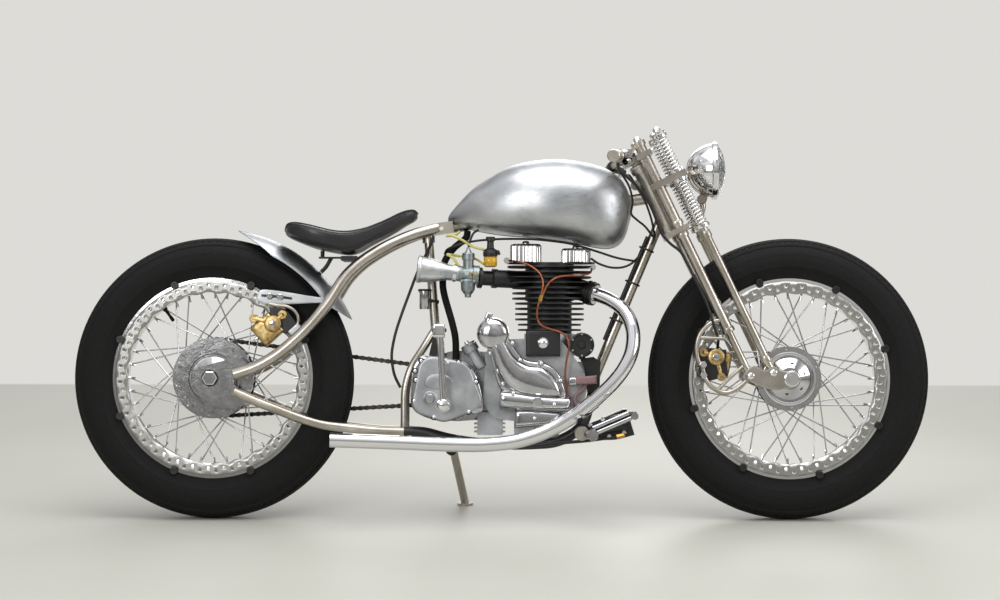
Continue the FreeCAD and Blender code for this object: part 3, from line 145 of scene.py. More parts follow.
def skin(name, grids, around=True, along=False, sharp=35):
    """One mesh from a grid of points, or several of one size: faces join each point to its neighbours.
    around closes every row on itself and along joins the last row to the first."""
    grids = np.asarray(grids, float)
    grids = grids.reshape((-1,) + grids.shape[-3:])
    copies, rows, columns = grids.shape[:3]
    index = np.arange(copies * rows * columns).reshape(copies, rows, columns)
    down = np.roll(index, -1, 1)
    right = np.roll(index, -1, 2)
    both = np.roll(down, -1, 2)
    faces = np.stack([index, right, both, down], -1)
    faces = faces[:, :rows if along else rows - 1, :columns if around else columns - 1]
    mesh = bpy.data.meshes.new(name)
    mesh.from_pydata(grids.reshape(-1, 3), [], faces.reshape(-1, 4).tolist())
    work = bmesh.new()
    work.from_mesh(mesh)
    bmesh.ops.remove_doubles(work, verts=work.verts, dist=2e-6)
    bmesh.ops.recalc_face_normals(work, faces=work.faces)
    work.to_mesh(mesh)
    work.free()
    mesh.shade_smooth()
    mesh.set_sharp_from_angle(angle=math.radians(sharp))
    made = bpy.data.objects.new(name, mesh)
    scene.collection.objects.link(made)
    return made


def fitted(made, body, material, *replaced, slot=None):
    """Gives a finished piece its material, the body it rides on and the CAD nodes it stands for. Its slot
    argument is not used."""
    made.data.materials.clear()
    made.data.materials.append(material)
    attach(made, body)
    if replaced:
        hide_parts(*replaced)


def piece(name, grid, material, *replaced, body="frame", slot=None, sharp=50, along=False):
    """A finished piece from its grid."""
    fitted(skin(name, grid, along=along, sharp=sharp), body, material, *replaced, slot=slot)


def dressed(material, *names):
    """Puts a material on CAD nodes whose shape is right."""
    for name in names:
        nodes[name].data.materials.clear()
        nodes[name].data.materials.append(material)


def begun(name, slot, colour, metallic, roughness, **shading):
    """A material with one shader, and the Object coordinates that its patterns read. Its slot argument is not
    used.
    """
    material = bpy.data.materials.new(name)
    material.use_nodes = True
    tree = material.node_tree
    tree.nodes.clear()
    settings = {"Base Color": linear(colour), "Metallic": metallic, "Roughness": roughness, **shading}
    shader = add(tree, "ShaderNodeBsdfPrincipled", settings)
    add(tree, "ShaderNodeOutputMaterial", {"Surface": shader.outputs[0]})
    place = add(tree, "ShaderNodeTexCoord").outputs["Object"]
    return material, tree, shader, place


def patterned(tree, shader, place, scale, detail=2.0, tones=(), rough=(), bump=(), stops=(0, 1),
              **extra):
    """A noise that the surface follows: its colour goes from one tone to the other, and its roughness
    from one value to the other, between two stops of the noise. bump is a strength and a height."""
    noise = add(tree, "ShaderNodeTexNoise", {"Vector": place, "Scale": scale, "Detail": detail, **extra})
    value = noise.outputs["Fac"]
    if tones:
        blend = add(tree, "ShaderNodeValToRGB", {"Fac": value})
        for element, stop, tone in zip(blend.color_ramp.elements, stops, tones):
            element.position = stop
            element.color = linear(tone)
        tree.links.new(blend.outputs["Color"], shader.inputs["Base Color"])
    if rough:
        dull = add(tree, "ShaderNodeMapRange",
                   {"Value": value, "From Min": stops[0], "From Max": stops[1], "To Min": rough[0],
                    "To Max": rough[1]})
        tree.links.new(dull.outputs["Result"], shader.inputs["Roughness"])
    if bump:
        swell = add(tree, "ShaderNodeBump", {"Height": value, "Strength": bump[0], "Distance": bump[1]})
        tree.links.new(swell.outputs[0], shader.inputs["Normal"])
    return value


floor_paint, tree, shader, place = begun("sealed_floor", None, "#b4b3aa", 0.0, 0.5)
patterned(tree, shader, place, 0.9, 5.0, tones=("#a9a89f", "#bab9b1"))
# A wall stands 2.42 m from the machine on each side: past it the floor shows the wall's even tone.
depth = add(tree, "ShaderNodeSeparateXYZ", {"Vector": place})
away = add(tree, "ShaderNodeMath", {0: depth.outputs["Y"]}, operation="ABSOLUTE")
past = add(tree, "ShaderNodeMapRange", {"Value": away.outputs[0], "From Min": 2.40, "From Max": 2.44})
ray = add(tree, "ShaderNodeLightPath").outputs
mirrored = add(tree, "ShaderNodeMath", {0: ray["Is Camera Ray"], 1: ray["Is Glossy Ray"]},
               operation="MAXIMUM")
seen = add(tree, "ShaderNodeMath", {0: mirrored.outputs[0], 1: ray["Is Transmission Ray"]},
           operation="MAXIMUM")
shown = add(tree, "ShaderNodeMath", {0: past.outputs["Result"], 1: seen.outputs[0]}, operation="MULTIPLY")
wall = add(tree, "ShaderNodeEmission", {"Color": wall_tone, "Strength": 1.0})
both = add(tree, "ShaderNodeMixShader", {0: shown.outputs[0], 1: shader.outputs[0], 2: wall.outputs[0]})
tree.links.new(both.outputs[0], tree.nodes["Material Output"].inputs["Surface"])
turn, reach = np.meshgrid(np.linspace(0, 2 * np.pi, 96, endpoint=False), np.linspace(0, 14, 12))
floor = skin("floor", np.stack([reach * np.cos(turn), reach * np.sin(turn), reach * 0], -1))
if floor.data.polygons[0].normal.z < 0:
    floor.data.flip_normals()
floor.data.materials.append(floor_paint)

# Tyres.
# Black rubber, moulded in a heated steel form. Each tread has zigzag grooves and a toothed shoulder,
# and the sidewalls are smooth with a thin ridge near the rim.
rubber, *parts = begun("moulded_rubber", "tyre_rubber", "#070707", 0.0, 0.8, **{"Specular IOR Level": 0.3})
# Mould marks and dust on the rubber are 3 to 8 mm across.
patterned(*parts, 160.0, 4.0, rough=(0.72, 0.92), bump=(0.25, 0.0006))


def wheel_points(lateral, radius, angle, centre):
    """Points about a wheel's axle: lateral along it, and radius at an angle round it, in millimetres."""
    x = centre[0] + radius * np.cos(angle)
    z = centre[2] + radius * np.sin(angle)
    return leaned(np.stack(np.broadcast_arrays(x, centre[1] + lateral, z), -1))


def tyre_grid(centre):
    """A tyre's section is a circle of 57 mm about a ring of 288 mm, drawn in to the bead at both sides.
    Grooves are sunk where a zigzag of the angle comes near a line of the section, and the tread's
    edge is a step whose line runs in teeth."""
    section_radius, ring_radius, teeth = 57, 288, 120
    angle = np.linspace(0, 2 * np.pi, teeth * 6, endpoint=False)[None, :]
    slant = np.radians(np.linspace(-116, 116, 87))[:, None]
    wave = np.abs(((angle * teeth / (2 * np.pi)) % 1) - 0.5) * 4 - 1
    degrees = np.degrees(slant)
    groove = np.zeros(np.broadcast_shapes(angle.shape, slant.shape))
    for line in (-30, -10, 10, 30):
        groove = np.maximum(groove, np.clip(2.2 - np.abs(degrees - line - 2.6 * wave), 0, 1) * 3.6)
    edge = np.abs(degrees) - 52 - 3.4 * wave
    groove = np.maximum(groove, np.clip(edge, 0, 1) * 2.4)
    second = np.abs(degrees) - 72 - 2.2 * wave
    groove = np.maximum(groove, 2.4 + np.clip(second, 0, 1) * 1.0 * (np.abs(degrees) > 60))
    groove = np.where(np.abs(degrees) > 52, groove, np.minimum(groove, 3.6))
    groove = np.where((np.abs(degrees) < 46), np.where(groove > 2.4, groove, 0), groove)
    ridge = np.clip(1.6 - np.abs(np.abs(degrees) - 104) * 0.5, 0, 1.4)
    size = section_radius - groove + ridge
    lateral = size * np.sin(slant)
    radius = ring_radius + size * np.cos(slant)
    bead = np.array([[-45.0, 254.0], [-43.0, 246.0], [43.0, 246.0], [45.0, 254.0]])
    foot = np.broadcast_to(bead[:, :, None], (4, 2, angle.size))
    lateral = np.concatenate([foot[1:2, 0], foot[0:1, 0], lateral, foot[3:4, 0], foot[2:3, 0]])
    radius = np.concatenate([foot[1:2, 1], foot[0:1, 1], radius, foot[3:4, 1], foot[2:3, 1]])
    return wheel_points(lateral, radius, angle, centre)


rear_middle = (0.0, 0.0, 345.0)
front_middle = (1415.0, 0.0, 345.0)
for end, middle in (("rear", rear_middle), ("front", front_middle)):
    piece(end + "_tyre_tread", tyre_grid(middle), rubber, end + "_tyre", body=end + "_wheel", sharp=28,
          along=True)

# Rims, spokes and hubs.
# The rims are rolled steel with chrome plate, laced to polished cast hubs by forty plated spokes each.
# A plated nipple holds each spoke at the rim, and a rubber valve passes through it.
chrome, *parts = begun("chrome_plate", "chrome", "#dededf", 1.0, 0.07)
# Plate follows the slight waves of the steel under it, 20 to 40 mm long.
patterned(*parts, 28.0, 2.0, rough=(0.05, 0.12), bump=(0.12, 0.002))
polished, *parts = begun("polished_casting", "polished_aluminium", "#cfcfd0", 1.0, 0.17)
# Buffed castings keep shallow dips from the sand and a haze of fine wheel marks.
patterned(*parts, 36.0, 3.0, tones=("#a2a2a4", "#cfcfd1"), bump=(0.2, 0.002))
patterned(*parts, 320.0, 4.0, rough=(0.07, 0.2))
dressed(chrome, "front_rim", "rear_rim")
dressed(polished, "front_hub", "rear_hub")


def spun(profile, start, way, steps=32):
    """A profile of (distance, radius) rows turned about the line from start along way, in upright
    millimetres."""
    profile = np.asarray(profile, float)
    way = np.asarray(way, float) / np.linalg.norm(way)
    side = np.cross(way, (0.0, 0.0, 1.0) if abs(way[2]) < 0.8 else (1.0, 0.0, 0.0))
    side /= np.linalg.norm(side)
    over = np.cross(way, side)
    angle = np.linspace(0, 2 * np.pi, steps, endpoint=False)
    ring = side * np.cos(angle)[:, None] + over * np.sin(angle)[:, None]
    return np.asarray(start, float) + profile[:, 0, None, None] * way + profile[:, 1, None, None] * ring[None]


def turned(profile, start, way, steps=32):
    """A turned profile in its place on the leaning machine."""
    return leaned(spun(profile, start, way, steps))


def many(profile, starts, way, steps=6):
    """The same small turned shape at several places, along one way or each along its own."""
    ways = np.broadcast_to(way, (len(starts), 3))
    return np.stack([turned(profile, start, one, steps) for start, one in zip(starts, ways)])


rim_floor, spoke_count = 211.5, 40
for end, middle in (("rear", rear_middle), ("front", front_middle)):
    spot = np.arange(spoke_count)
    angle = 2 * np.pi * spot / spoke_count
    outward = np.stack([np.cos(angle), 0 * angle, np.sin(angle)], -1)
    across = np.where(spot % 2, -6.0, 6.0)
    root = np.array(middle) + outward * rim_floor + np.stack([0 * angle, across, 0 * angle], -1)
    nipple = [(0, 0), (0, 3.4), (-3, 3.4), (-4, 2.6), (-15, 2.4), (-15, 0)]
    piece(end + "_spoke_nipples", many(nipple, root, outward, 8), chrome, body=end + "_wheel", sharp=35)
    stem = np.array(middle) + np.array([math.cos(2.2), 0, math.sin(2.2)]) * rim_floor
    valve = [(0, 0), (0, 7), (-4, 6), (-8, 4), (-24, 3.6), (-26, 4.4), (-36, 4.4), (-38, 3.4), (-38, 0)]
    piece(end + "_valve", turned(valve, stem, stem - np.array(middle), 12), rubber, body=end + "_wheel")

# Brake discs.
# Each rim carries a ring of ground steel on eight black bobbins, drilled in two staggered rows
# to clean the pads, with a wavy inner edge.
ground, *parts = begun("ground_steel", "disc_steel", "#a9a8a5", 1.0, 0.34)
# Grinding leaves fine marks, drawn at about 2 mm, and the pads leave a darker haze.
patterned(*parts, 420.0, 3.0, rough=(0.24, 0.46))
patterned(*parts, 14.0, 3.0, tones=("#8d8b87", "#bdbcb9"))
black, *parts = begun("black_enamel", "black_paint", "#141414", 0.0, 0.38)
# Brushed enamel has an orange-peel skin with bumps about 2 mm apart.
patterned(*parts, 380.0, 2.0, rough=(0.3, 0.5), bump=(0.2, 0.0004))


def drilled_ring(centre, lateral, cells=72):
    """A ring of cells, each a round hole joined to a cell edge that is straight at both sides.
    The inner edge waves by 2.4 mm, three waves to eight cells, and holes sit on two circles in turn."""
    inner_edge, outer_edge, hole_circles, hole = 209.5, 238.6, (219.5, 228.0), 3.1
    step = 2 * np.pi / cells
    side = np.linspace(0, 1, 7)[:-1]
    zero, one = np.zeros(6), np.ones(6)
    across = np.concatenate([side, one, 1 - side, zero])
    up = np.concatenate([zero, side, one, 1 - side])
    cell = np.arange(cells)[:, None]
    angle = (cell + across[None, :]) * step
    inner = inner_edge + 2.4 * np.cos(angle * cells * 0.375)
    radius = inner + (outer_edge - inner) * up[None, :]
    middle_angle = (cell + 0.5) * step
    middle_radius = np.where(cell % 2, *hole_circles)
    turn = np.arctan2(radius - middle_radius, (angle - middle_angle) * middle_radius)
    hole_angle = middle_angle + hole * np.cos(turn) / middle_radius
    hole_radius = middle_radius + hole * np.sin(turn)
    angles = np.stack([hole_angle, (hole_angle * 2 + angle) / 3, angle], 1)
    radii = np.stack([hole_radius, (hole_radius * 2 + radius) / 3, radius], 1)
    return wheel_points(lateral, radii, angles, centre)


leftward = (0, 1, 0)
bobbin_circle = 246.0
for end, middle, first in (("rear", rear_middle, 22.5), ("front", front_middle, 17.4)):
    ring = skin(end + "_drilled_disc", drilled_ring(middle, -50.1), sharp=30)
    if ring.data.polygons[0].normal.y > 0:
        ring.data.flip_normals()
    wall = ring.modifiers.new("thickness", "SOLIDIFY")
    wall.thickness = 0.0038
    wall.offset = 1.0 if ring.data.polygons[0].normal.y > 0 else -1.0
    fitted(ring, end + "_wheel", ground, end + "_brake_disc")
    angle = np.radians(first) + 2 * np.pi * np.arange(8) / 8
    centre = np.array(middle) + bobbin_circle * np.stack([np.cos(angle), 0 * angle, np.sin(angle)], -1)
    bobbin = [(-40, 0), (-40, 6), (-49, 6), (-49.5, 9.5), (-52.5, 9.5), (-53.5, 8.5), (-53.5, 4.5),
              (-52, 3.6), (-52, 0)]
    piece(end + "_disc_bobbins", many(bobbin, centre, leftward, 20), black, body=end + "_wheel", sharp=35)

# Hub fittings.
# The rear hub's cover is held by small screws round its rim, with black discs between them as painted shade
# for lightening holes, and the front hub's bearing plate by six black cap screws. Both are set into polished
# faces.
hexagon = [(0, 0), (0, 1.0), (0.55, 1.0), (0.7, 0.84), (0.7, 0)]
rightward = (0, -1, 0)
sides = ((-1, "right"), (1, "left"))


def bolts(name, places, way, size, material, body="frame"):
    """Bolt heads of one size: a six-sided profile of unit radius, scaled and set at each place."""
    piece(name, many(np.array(hexagon) * size, places, way), material, body=body, sharp=20)


def circle_of(centre, lateral, radius, count, first=0.0):
    """Places evenly spaced on a circle about a lateral line."""
    angle = math.radians(first) + 2 * np.pi * np.arange(count) / count
    return np.stack([centre[0] + radius * np.cos(angle), centre[1] + lateral + 0 * angle,
                     centre[2] + radius * np.sin(angle)], -1)


bolts("rear_hub_screws", circle_of(rear_middle, -35.6, 84, 10), rightward, 3.6, chrome, body="rear_wheel")
# Black discs stand for the rear hub's lightening holes: painted shade, in place of the dark inside of each
# hole.
pit = [(0, 0), (0, 3.4), (0.5, 3.4), (0.6, 2.6), (0.2, 2.2), (0.2, 0)]
piece("rear_hub_hole_shade_discs", many(pit, circle_of(rear_middle, -35.7, 84, 10, 18), rightward, 16), black,
      body="rear_wheel", sharp=35)
band = [(35.7, 63), (35.7, 66), (40, 66), (41.5, 64.5), (41.5, 60), (40, 58.5), (38, 58.5)]
for side, name in sides:
    piece("rear_hub_band_" + name, turned(band, rear_middle, (0, side, 0), 96), polished, body="rear_wheel",
          sharp=35, along=True)
band = [(35.8, 60), (35.8, 64), (38.5, 66), (41, 65.5), (42, 62), (41, 58), (37, 56)]
piece("front_hub_band", turned(band, front_middle, rightward, 96), chrome, body="front_wheel", sharp=35,
      along=True)
bolts("front_hub_screws", circle_of(front_middle, -43.0, 36, 6, 20), rightward, 5.0, black,
      body="front_wheel")
bolts("front_hub_left_screws", circle_of(front_middle, 43.0, 36, 6, 20), leftward, 5.0, black,
      body="front_wheel")

# Frame.
# Bent steel tube, brazed and plated in satin nickel, which looks slightly warm and softly brushed.
nickel, *parts = begun("satin_nickel", "satin_steel", "#b3aca2", 1.0, 0.3)
# Hand polishing leaves marks about 4 mm apart and longer clouds of tone.
patterned(*parts, 260.0, 4.0, rough=(0.2, 0.42), bump=(0.12, 0.0004))
patterned(*parts, 12.0, 4.0, tones=("#9c958b", "#c6c0b6"), stops=(0.3, 0.7))
dressed(nickel, "upper_rails", "lower_rails", "headstock", "top_tube", "down_tube", "seat_tube",
        "fork_legs", "spring_legs", "fork_yokes", "rockers", "side_stand")
dressed(chrome, "front_axle", "rear_axle")
dressed(polished, "axle_plates")
for side, name in sides:
    # The black disc under each axle nut is painted shade: it stands for the dark round hole in the polished
    # axle plate.
    washer = [(0, 0), (0, 21), (0.9, 20.5), (0.9, 0)]
    piece("rear_axle_painted_hole_shade_" + name, turned(washer, (0, side * 103, 345), (0, side, 0), 36), black)
    bolts("rear_axle_nut_" + name, [(0, side * 102.9, 345)], (0, side, 0), 18.7, chrome)
dressed(black, "engine_cradle", "engine_plates", "saddle_bracket")


def smooth_line(points, count):
    """A smooth line through points: each stretch is the cubic whose slope at a point is half the step
    between that point's neighbours."""
    p = np.asarray(points, float)
    p = np.concatenate([2 * p[:1] - p[1:2], p, 2 * p[-1:] - p[-2:-1]])
    t = np.linspace(0, len(p) - 3, count)
    k = np.minimum(t.astype(int), len(p) - 4)
    f = (t - k)[:, None]
    a, b, c, d = p[k], p[k + 1], p[k + 2], p[k + 3]
    return 0.5 * (2 * b + (c - a) * f + (2 * a - 5 * b + 4 * c - d) * f ** 2
                  + (3 * b - a - 3 * c + d) * f ** 3)


def carried(line, radius, side=(0.0, 1.0, 0.0), steps=12, closed=False):
    """A round section carried along a line. Its plane is square to the line's slope and starts from
    a fixed side direction, and both ends close to a point."""
    line = np.asarray(line, float)
    if closed:
        slope = np.roll(line, -1, 0) - np.roll(line, 1, 0)
    else:
        slope = np.gradient(line, axis=0)
    slope /= np.linalg.norm(slope, axis=1, keepdims=True)
    first = np.cross(slope, np.asarray(side, float))
    first /= np.linalg.norm(first, axis=1, keepdims=True)
    second = np.cross(slope, first)
    radius = np.broadcast_to(np.asarray(radius, float), line.shape[:1])[:, None, None]
    angle = np.linspace(0, 2 * np.pi, steps, endpoint=False)[None, :, None]
    ring = radius * (first[:, None] * np.cos(angle) + second[:, None] * np.sin(angle))
    rows = line[:, None] + ring
    if closed:
        return rows
    ends = [np.repeat(line[i:i + 1, None], steps, 1) for i in (0, -1)]
    return np.concatenate([ends[0], rows, ends[1]])


def pipe(points, count, radius, steps=12, side=(0.0, 1.0, 0.0)):
    """A round pipe through places on the upright machine, in millimetres."""
    return carried(leaned(smooth_line(points, count)), np.asarray(radius) / 1000, side=side, steps=steps)


# Saddle.
# A steel pan with a firm foam pad under smooth black leather, sewn round its top edge with piping.
# It dips where the rider sits, and its nose and tail rise.
leather, tree, shader, place = begun("saddle_leather", "black_leather", "#17171a", 0.0, 0.42,
                                     **{"Coat Weight": 0.15})
# Hide has pebbles about 1 mm wide, drawn at 2.5 mm, with wide soft creases.
pebbles = add(tree, "ShaderNodeTexVoronoi", {"Vector": place, "Scale": 420.0})
creases = patterned(tree, shader, place, 26.0, 4.0, rough=(0.3, 0.52))
swell = add(tree, "ShaderNodeBump", {"Height": creases, "Strength": 0.35, "Distance": 0.003})
fine = add(tree, "ShaderNodeBump",
           {"Height": pebbles.outputs["Distance"], "Strength": 0.22, "Distance": 0.0005,
            "Normal": swell.outputs[0]})
tree.links.new(fine.outputs[0], shader.inputs["Normal"])

# Rows are x, underside z, edge z, middle z and half width.
saddle_rows = np.array([(177, 699, 709, 709, 40), (181, 694, 719, 717, 66), (190, 688, 726, 722, 86),
                        (210, 679, 727, 722, 104), (241, 667, 721, 712, 116), (265, 660, 715, 704, 119),
                        (290, 655, 709, 698, 118), (312, 651, 706, 695, 112), (335, 649, 706, 696, 104),
                        (358, 655, 710, 701, 94), (380, 668, 716, 708, 84), (400, 679, 724, 716, 75),
                        (420, 689, 733, 726, 66), (438, 699, 742, 736, 59), (455, 709, 751, 745, 52),
                        (472, 720, 758, 753, 44), (485, 727, 761, 757, 36), (494, 732, 761, 757, 28),
                        (501, 739, 755, 753, 14)], float)


def saddle_grid(rows, columns=64, finer=61):
    """Sections across the saddle: the top dips from its edge to its middle as a cosine, the side bulges
    out and then pulls in to the pan, and the underside is flat."""
    t = np.linspace(0, len(rows) - 1, finer)
    x, under, edge, middle, half = smooth_line(rows, finer).T[..., None]
    turn = np.linspace(0, 2 * np.pi, columns, endpoint=False)[None, :]
    across = np.sign(np.cos(turn)) * np.abs(np.cos(turn)) ** 0.5
    up = np.sin(turn)
    top = middle + (edge - middle) * (1 - np.cos(np.pi * np.clip(np.abs(across), 0, 1))) / 2
    waist = under + (edge - under) * 0.55
    rise = np.clip(up, 0, 1) ** 0.35
    fall = np.clip(-up, 0, 1) ** 0.45
    z = np.where(up >= 0, waist + (top - waist) * rise, waist - (waist - under) * fall)
    tuck = 1 - 0.16 * np.clip(-up, 0, 1) ** 0.8
    y = half * across * tuck
    return np.stack([x + 0 * y, y, z], -1)


body = saddle_grid(saddle_rows)
cap_low = np.repeat(body[:1].mean(1, keepdims=True), body.shape[1], 1)
cap_high = np.repeat(body[-1:].mean(1, keepdims=True), body.shape[1], 1)
pad = skin("saddle_pad", leaned(np.concatenate([cap_low, body, cap_high])), sharp=80)
rounding = pad.modifiers.new("rounding", "SUBSURF")
rounding.levels = 1
rounding.render_levels = 1
fitted(pad, "frame", leather, "saddle")
fine_rows = smooth_line(saddle_rows, 90)
right = np.stack([fine_rows[:, 0], -fine_rows[:, 4] * 0.985, fine_rows[:, 2] - 3.0], -1)
left = right[::-1] * np.array([1, -1, 1])
piping = carried(leaned(np.concatenate([right, left])), 0.0019, side=(0.0, 0.0, 1.0), steps=8, closed=True)
piece("saddle_piping", piping, leather, sharp=35, along=True)

# Rear mudguard.
# One aluminium sheet rolled over a wooden form and cut to a point at both ends, then brushed by hand.
brushed, tree, shader, place = begun("brushed_sheet", "brushed_aluminium", "#b2b4b6", 1.0, 0.4)
# A scouring pad leaves scratches 20 to 60 mm long, drawn 2 mm apart, and cloudy patches between.
stretch = add(tree, "ShaderNodeMapping", {"Vector": place, "Scale": (30.0, 420.0, 420.0)})
patterned(tree, shader, stretch.outputs[0], 1.0, 6.0, rough=(0.27, 0.5), bump=(0.22, 0.0004),
          stops=(0.3, 0.7))
patterned(tree, shader, place, 9.0, 5.0, tones=("#93969a", "#c9cbcc"), stops=(0.3, 0.7), Distortion=0.6)


def guard_grid(first=23.0, last=81.0, rows=60, columns=33):
    """An arc of the wheel's circle, its section an arc of 72 mm radius; the sheet narrows to a point
    at each end about as the square root of the distance from it."""
    section, half_width = 72.1, 63
    t = np.linspace(0, 1, rows)[:, None]
    s = np.linspace(-1, 1, columns)[None, :]
    angle = np.radians(first + (last - first) * t)
    share = np.minimum(np.clip(t / 0.16, 0, 1) ** 0.55, np.clip((1 - t) / 0.3, 0, 1) ** 0.5)
    share = 0.02 + 0.98 * share
    tilt = s * share * math.asin(half_width / section)
    lateral = section * np.sin(tilt)
    radius = 297.9 + 71.2 * np.cos(tilt)
    return wheel_points(lateral, radius, angle, rear_middle)


guard = skin("rear_mudguard_sheet", guard_grid(), around=False, sharp=60)
if guard.data.polygons[len(guard.data.polygons) // 2].normal.z < 0:
    guard.data.flip_normals()
wall = guard.modifiers.new("thickness", "SOLIDIFY")
wall.thickness = 0.0018
wall.offset = -1.0
fitted(guard, "frame", brushed, "rear_mudguard")
dressed(brushed, "fuel_tank")

# Engine castings.
# The case, gearbox and covers are sand-cast aluminium. The right-hand covers are polished by hand and
# held by round-headed screws on small bosses, and the case behind them is left as it was cast.
cast, *parts = begun("cast_aluminium", "brushed_aluminium", "#a3a5a8", 1.0, 0.42)
# Sand leaves bumps of 1 to 2 mm, and oil and air leave wide darker clouds.
patterned(*parts, 520.0, 4.0, bump=(0.35, 0.0006))
patterned(*parts, 18.0, 5.0, tones=("#7f8184", "#b9bbbd"), stops=(0.25, 0.7))
dressed(cast, "crankcase", "gearbox")
finned, *parts = begun("heatproof_enamel", "black_fins", "#101011", 0.0, 0.46)
# Baked enamel over a rough casting: bumps about 2 mm wide, a little shinier where it runs thick.
patterned(*parts, 400.0, 4.0, rough=(0.36, 0.58), bump=(0.4, 0.0006))
dressed(finned, "cylinder_barrel", "cylinder_head")


def casting(lower, upper, inner, outer, across=7.0, along=7.0, rows=44, columns=25):
    """A crowned slab between two edge lines given in x and z. It stands over its inner face by
    (1 - |v| ** across) ** (1 / across) times (1 - |u| ** along) ** (1 / along) of its full height,
    where v runs from the lower line to the upper and u from one end to the other, from -1 to 1."""
    u = -np.cos(np.pi * np.linspace(0, 1, rows))
    v = -np.cos(np.pi * np.linspace(0, 1, columns))
    edges = []
    for line in (lower, upper):
        fine = smooth_line(np.asarray(line, float), 300)
        run = np.concatenate([[0], np.cumsum(np.linalg.norm(np.diff(fine, axis=0), axis=1))])
        edges.append(np.stack([np.interp((u + 1) / 2 * run[-1], run, fine[:, k]) for k in (0, 1)], -1))
    share = ((v + 1) / 2)[None, :, None]
    flat = edges[0][:, None] * (1 - share) + edges[1][:, None] * share
    rise = ((1 - np.abs(v[None, :]) ** across).clip(0) ** (1 / across)
            * (1 - np.abs(u[:, None]) ** along).clip(0) ** (1 / along))
    top = np.stack([flat[..., 0], inner + (outer - inner) * rise, flat[..., 1]], -1)
    back = np.stack([flat[..., 0], inner + 0 * rise, flat[..., 1]], -1)
    return leaned(np.concatenate([top, back[:, -2:0:-1]], 1))


face = -62.3
piece("timing_cover_arm",
      casting([(664, 452), (680, 408), (694, 350), (708, 318), (740, 300), (800, 294), (868, 297)],
              [(722, 452), (734, 433), (751, 407), (772, 390), (810, 384), (837, 371), (854, 350),
               (868, 306)], face, -90, 9, 9, 60), polished, "timing_cover")
piece("timing_cover_bulge",
      casting([(664, 460), (688, 405), (706, 350), (736, 314), (790, 300), (852, 301)],
              [(716, 462), (722, 434), (744, 398), (776, 379), (812, 373), (844, 344), (857, 306)], -84,
              -108, 2.6, 4.0, 60, 33), polished)
piece("timing_cover_pump",
      casting([(704, 270), (740, 266), (800, 262), (879, 258)],
              [(705, 319), (740, 317), (800, 309), (880, 303)], face, -104, 2.6, 12.0), polished)
piece("timing_cover_foot",
      casting([(741, 223), (790, 227), (853, 232)], [(743, 268), (790, 268), (854, 262)], face, -94, 5.0,
              10.0), polished)
dome = [(-28, 0), (-28, 38), (-4, 38), (-3, 39.6), (3, 39.6), (4, 37.5), (9, 35), (14, 29), (17, 20),
        (18.6, 10), (19, 0)]
piece("timing_cover_dome", turned(dome, (689, -92, 454), rightward, 72), polished)
piece("timing_cover_tab",
      casting([(667, 490), (682, 484)], [(674, 508), (689, 502)], -84, -100, 7, 7, 12, 13), polished)
screw = [(0, 0), (0, 5.0), (1.6, 5.0), (3.4, 3.6), (4.0, 1.2), (4.0, 0)]
boss = [(-18, 0), (-18, 8.0), (0, 8.0), (1.0, 7.0), (1.0, 0)]
timing_screws = [(736, 431), (755, 390), (806, 382), (853, 340), (738, 309), (838, 282), (790, 248),
                 (682, 407), (701, 364), (713, 332), (677, 486)]
levels = [-90, -90, -90, -90, -102, -103, -94, -90, -90, -90, -100]
spots = [(x, y, z) for (x, z), y in zip(timing_screws, levels)]
boss_spots = [(x, y + 0.6, z) for x, y, z in spots[:4] + spots[7:10]]
piece("timing_cover_bosses", many(boss, boss_spots, rightward, 20), polished, sharp=40)
piece("timing_cover_screws", many(screw, spots, rightward, 16), chrome)
bolts("timing_cover_plug", [(798, -103, 289)], rightward, 12.5, chrome)

# Gearbox end.
# A polished cover with a bare oval plate, a hexagon plug and a round cap, and the kick lever on its
# shaft. The oil filler stands behind it on the case.
piece("gearbox_cover",
      casting([(489, 330), (490, 279), (513, 255), (562, 240), (602, 245), (637, 260), (662, 263),
               (666, 285)],
              [(489, 330), (495, 376), (515, 401), (552, 391), (572, 392), (601, 389), (637, 371),
               (654, 342), (666, 285)], -57.8, -94, 8, 8, 60, 41), polished)
piece("gearbox_oval_plate",
      casting([(521, 333), (530, 320), (556, 315), (582, 320), (592, 336)],
              [(521, 333), (530, 350), (556, 357), (582, 350), (592, 336)], -92, -98, 4, 4, 24, 17), cast)
ring = [(0, 0), (0, 17), (2.5, 18), (4, 16.5), (4, 14), (3, 13), (3, 0)]
piece("gearbox_plug_seat", turned(ring, (535, -93.5, 296), rightward, 40), cast)
bolts("gearbox_plug", [(535, -96, 296)], rightward, 12.0, chrome)
cap = [(0, 0), (0, 14.5), (1.6, 15), (2.4, 13.5), (2.4, 0)]
piece("gearbox_cap", turned(cap, (647, -92.5, 276), rightward, 40), polished)
gearbox_screws = [(499, 363), (501, 341), (497, 290), (545, 251), (630, 264), (648, 337), (605, 384),
                  (578, 383), (514, 388)]
piece("gearbox_screws", many(screw, [(x, -93.9, z) for x, z in gearbox_screws], rightward, 16), chrome)
# Black rings round the gearbox screws are painted shadow: each stands for the dark ring of shade round a
# screw head.
washer = [(0, 0), (0, 7.8), (0.9, 7.4), (0.9, 0)]
piece("gearbox_painted_shadow_rings", many(washer, [(x, -93.4, z) for x, z in gearbox_screws], rightward, 20), black)
neck = [(0, 0), (0, 15), (44, 15), (45, 20), (62, 20.5), (64, 18), (64, 0)]
piece("oil_filler", turned(neck, (661, -56, 372), (-0.5, 0, 0.82), 40), cast)
cap = [(0, 0), (0, 19), (4, 19), (5, 16), (5, 6), (12, 5), (12, 0)]
piece("oil_filler_cap", turned(cap, (628.3, -56, 425.6), (-0.5, 0, 0.82), 12), polished)

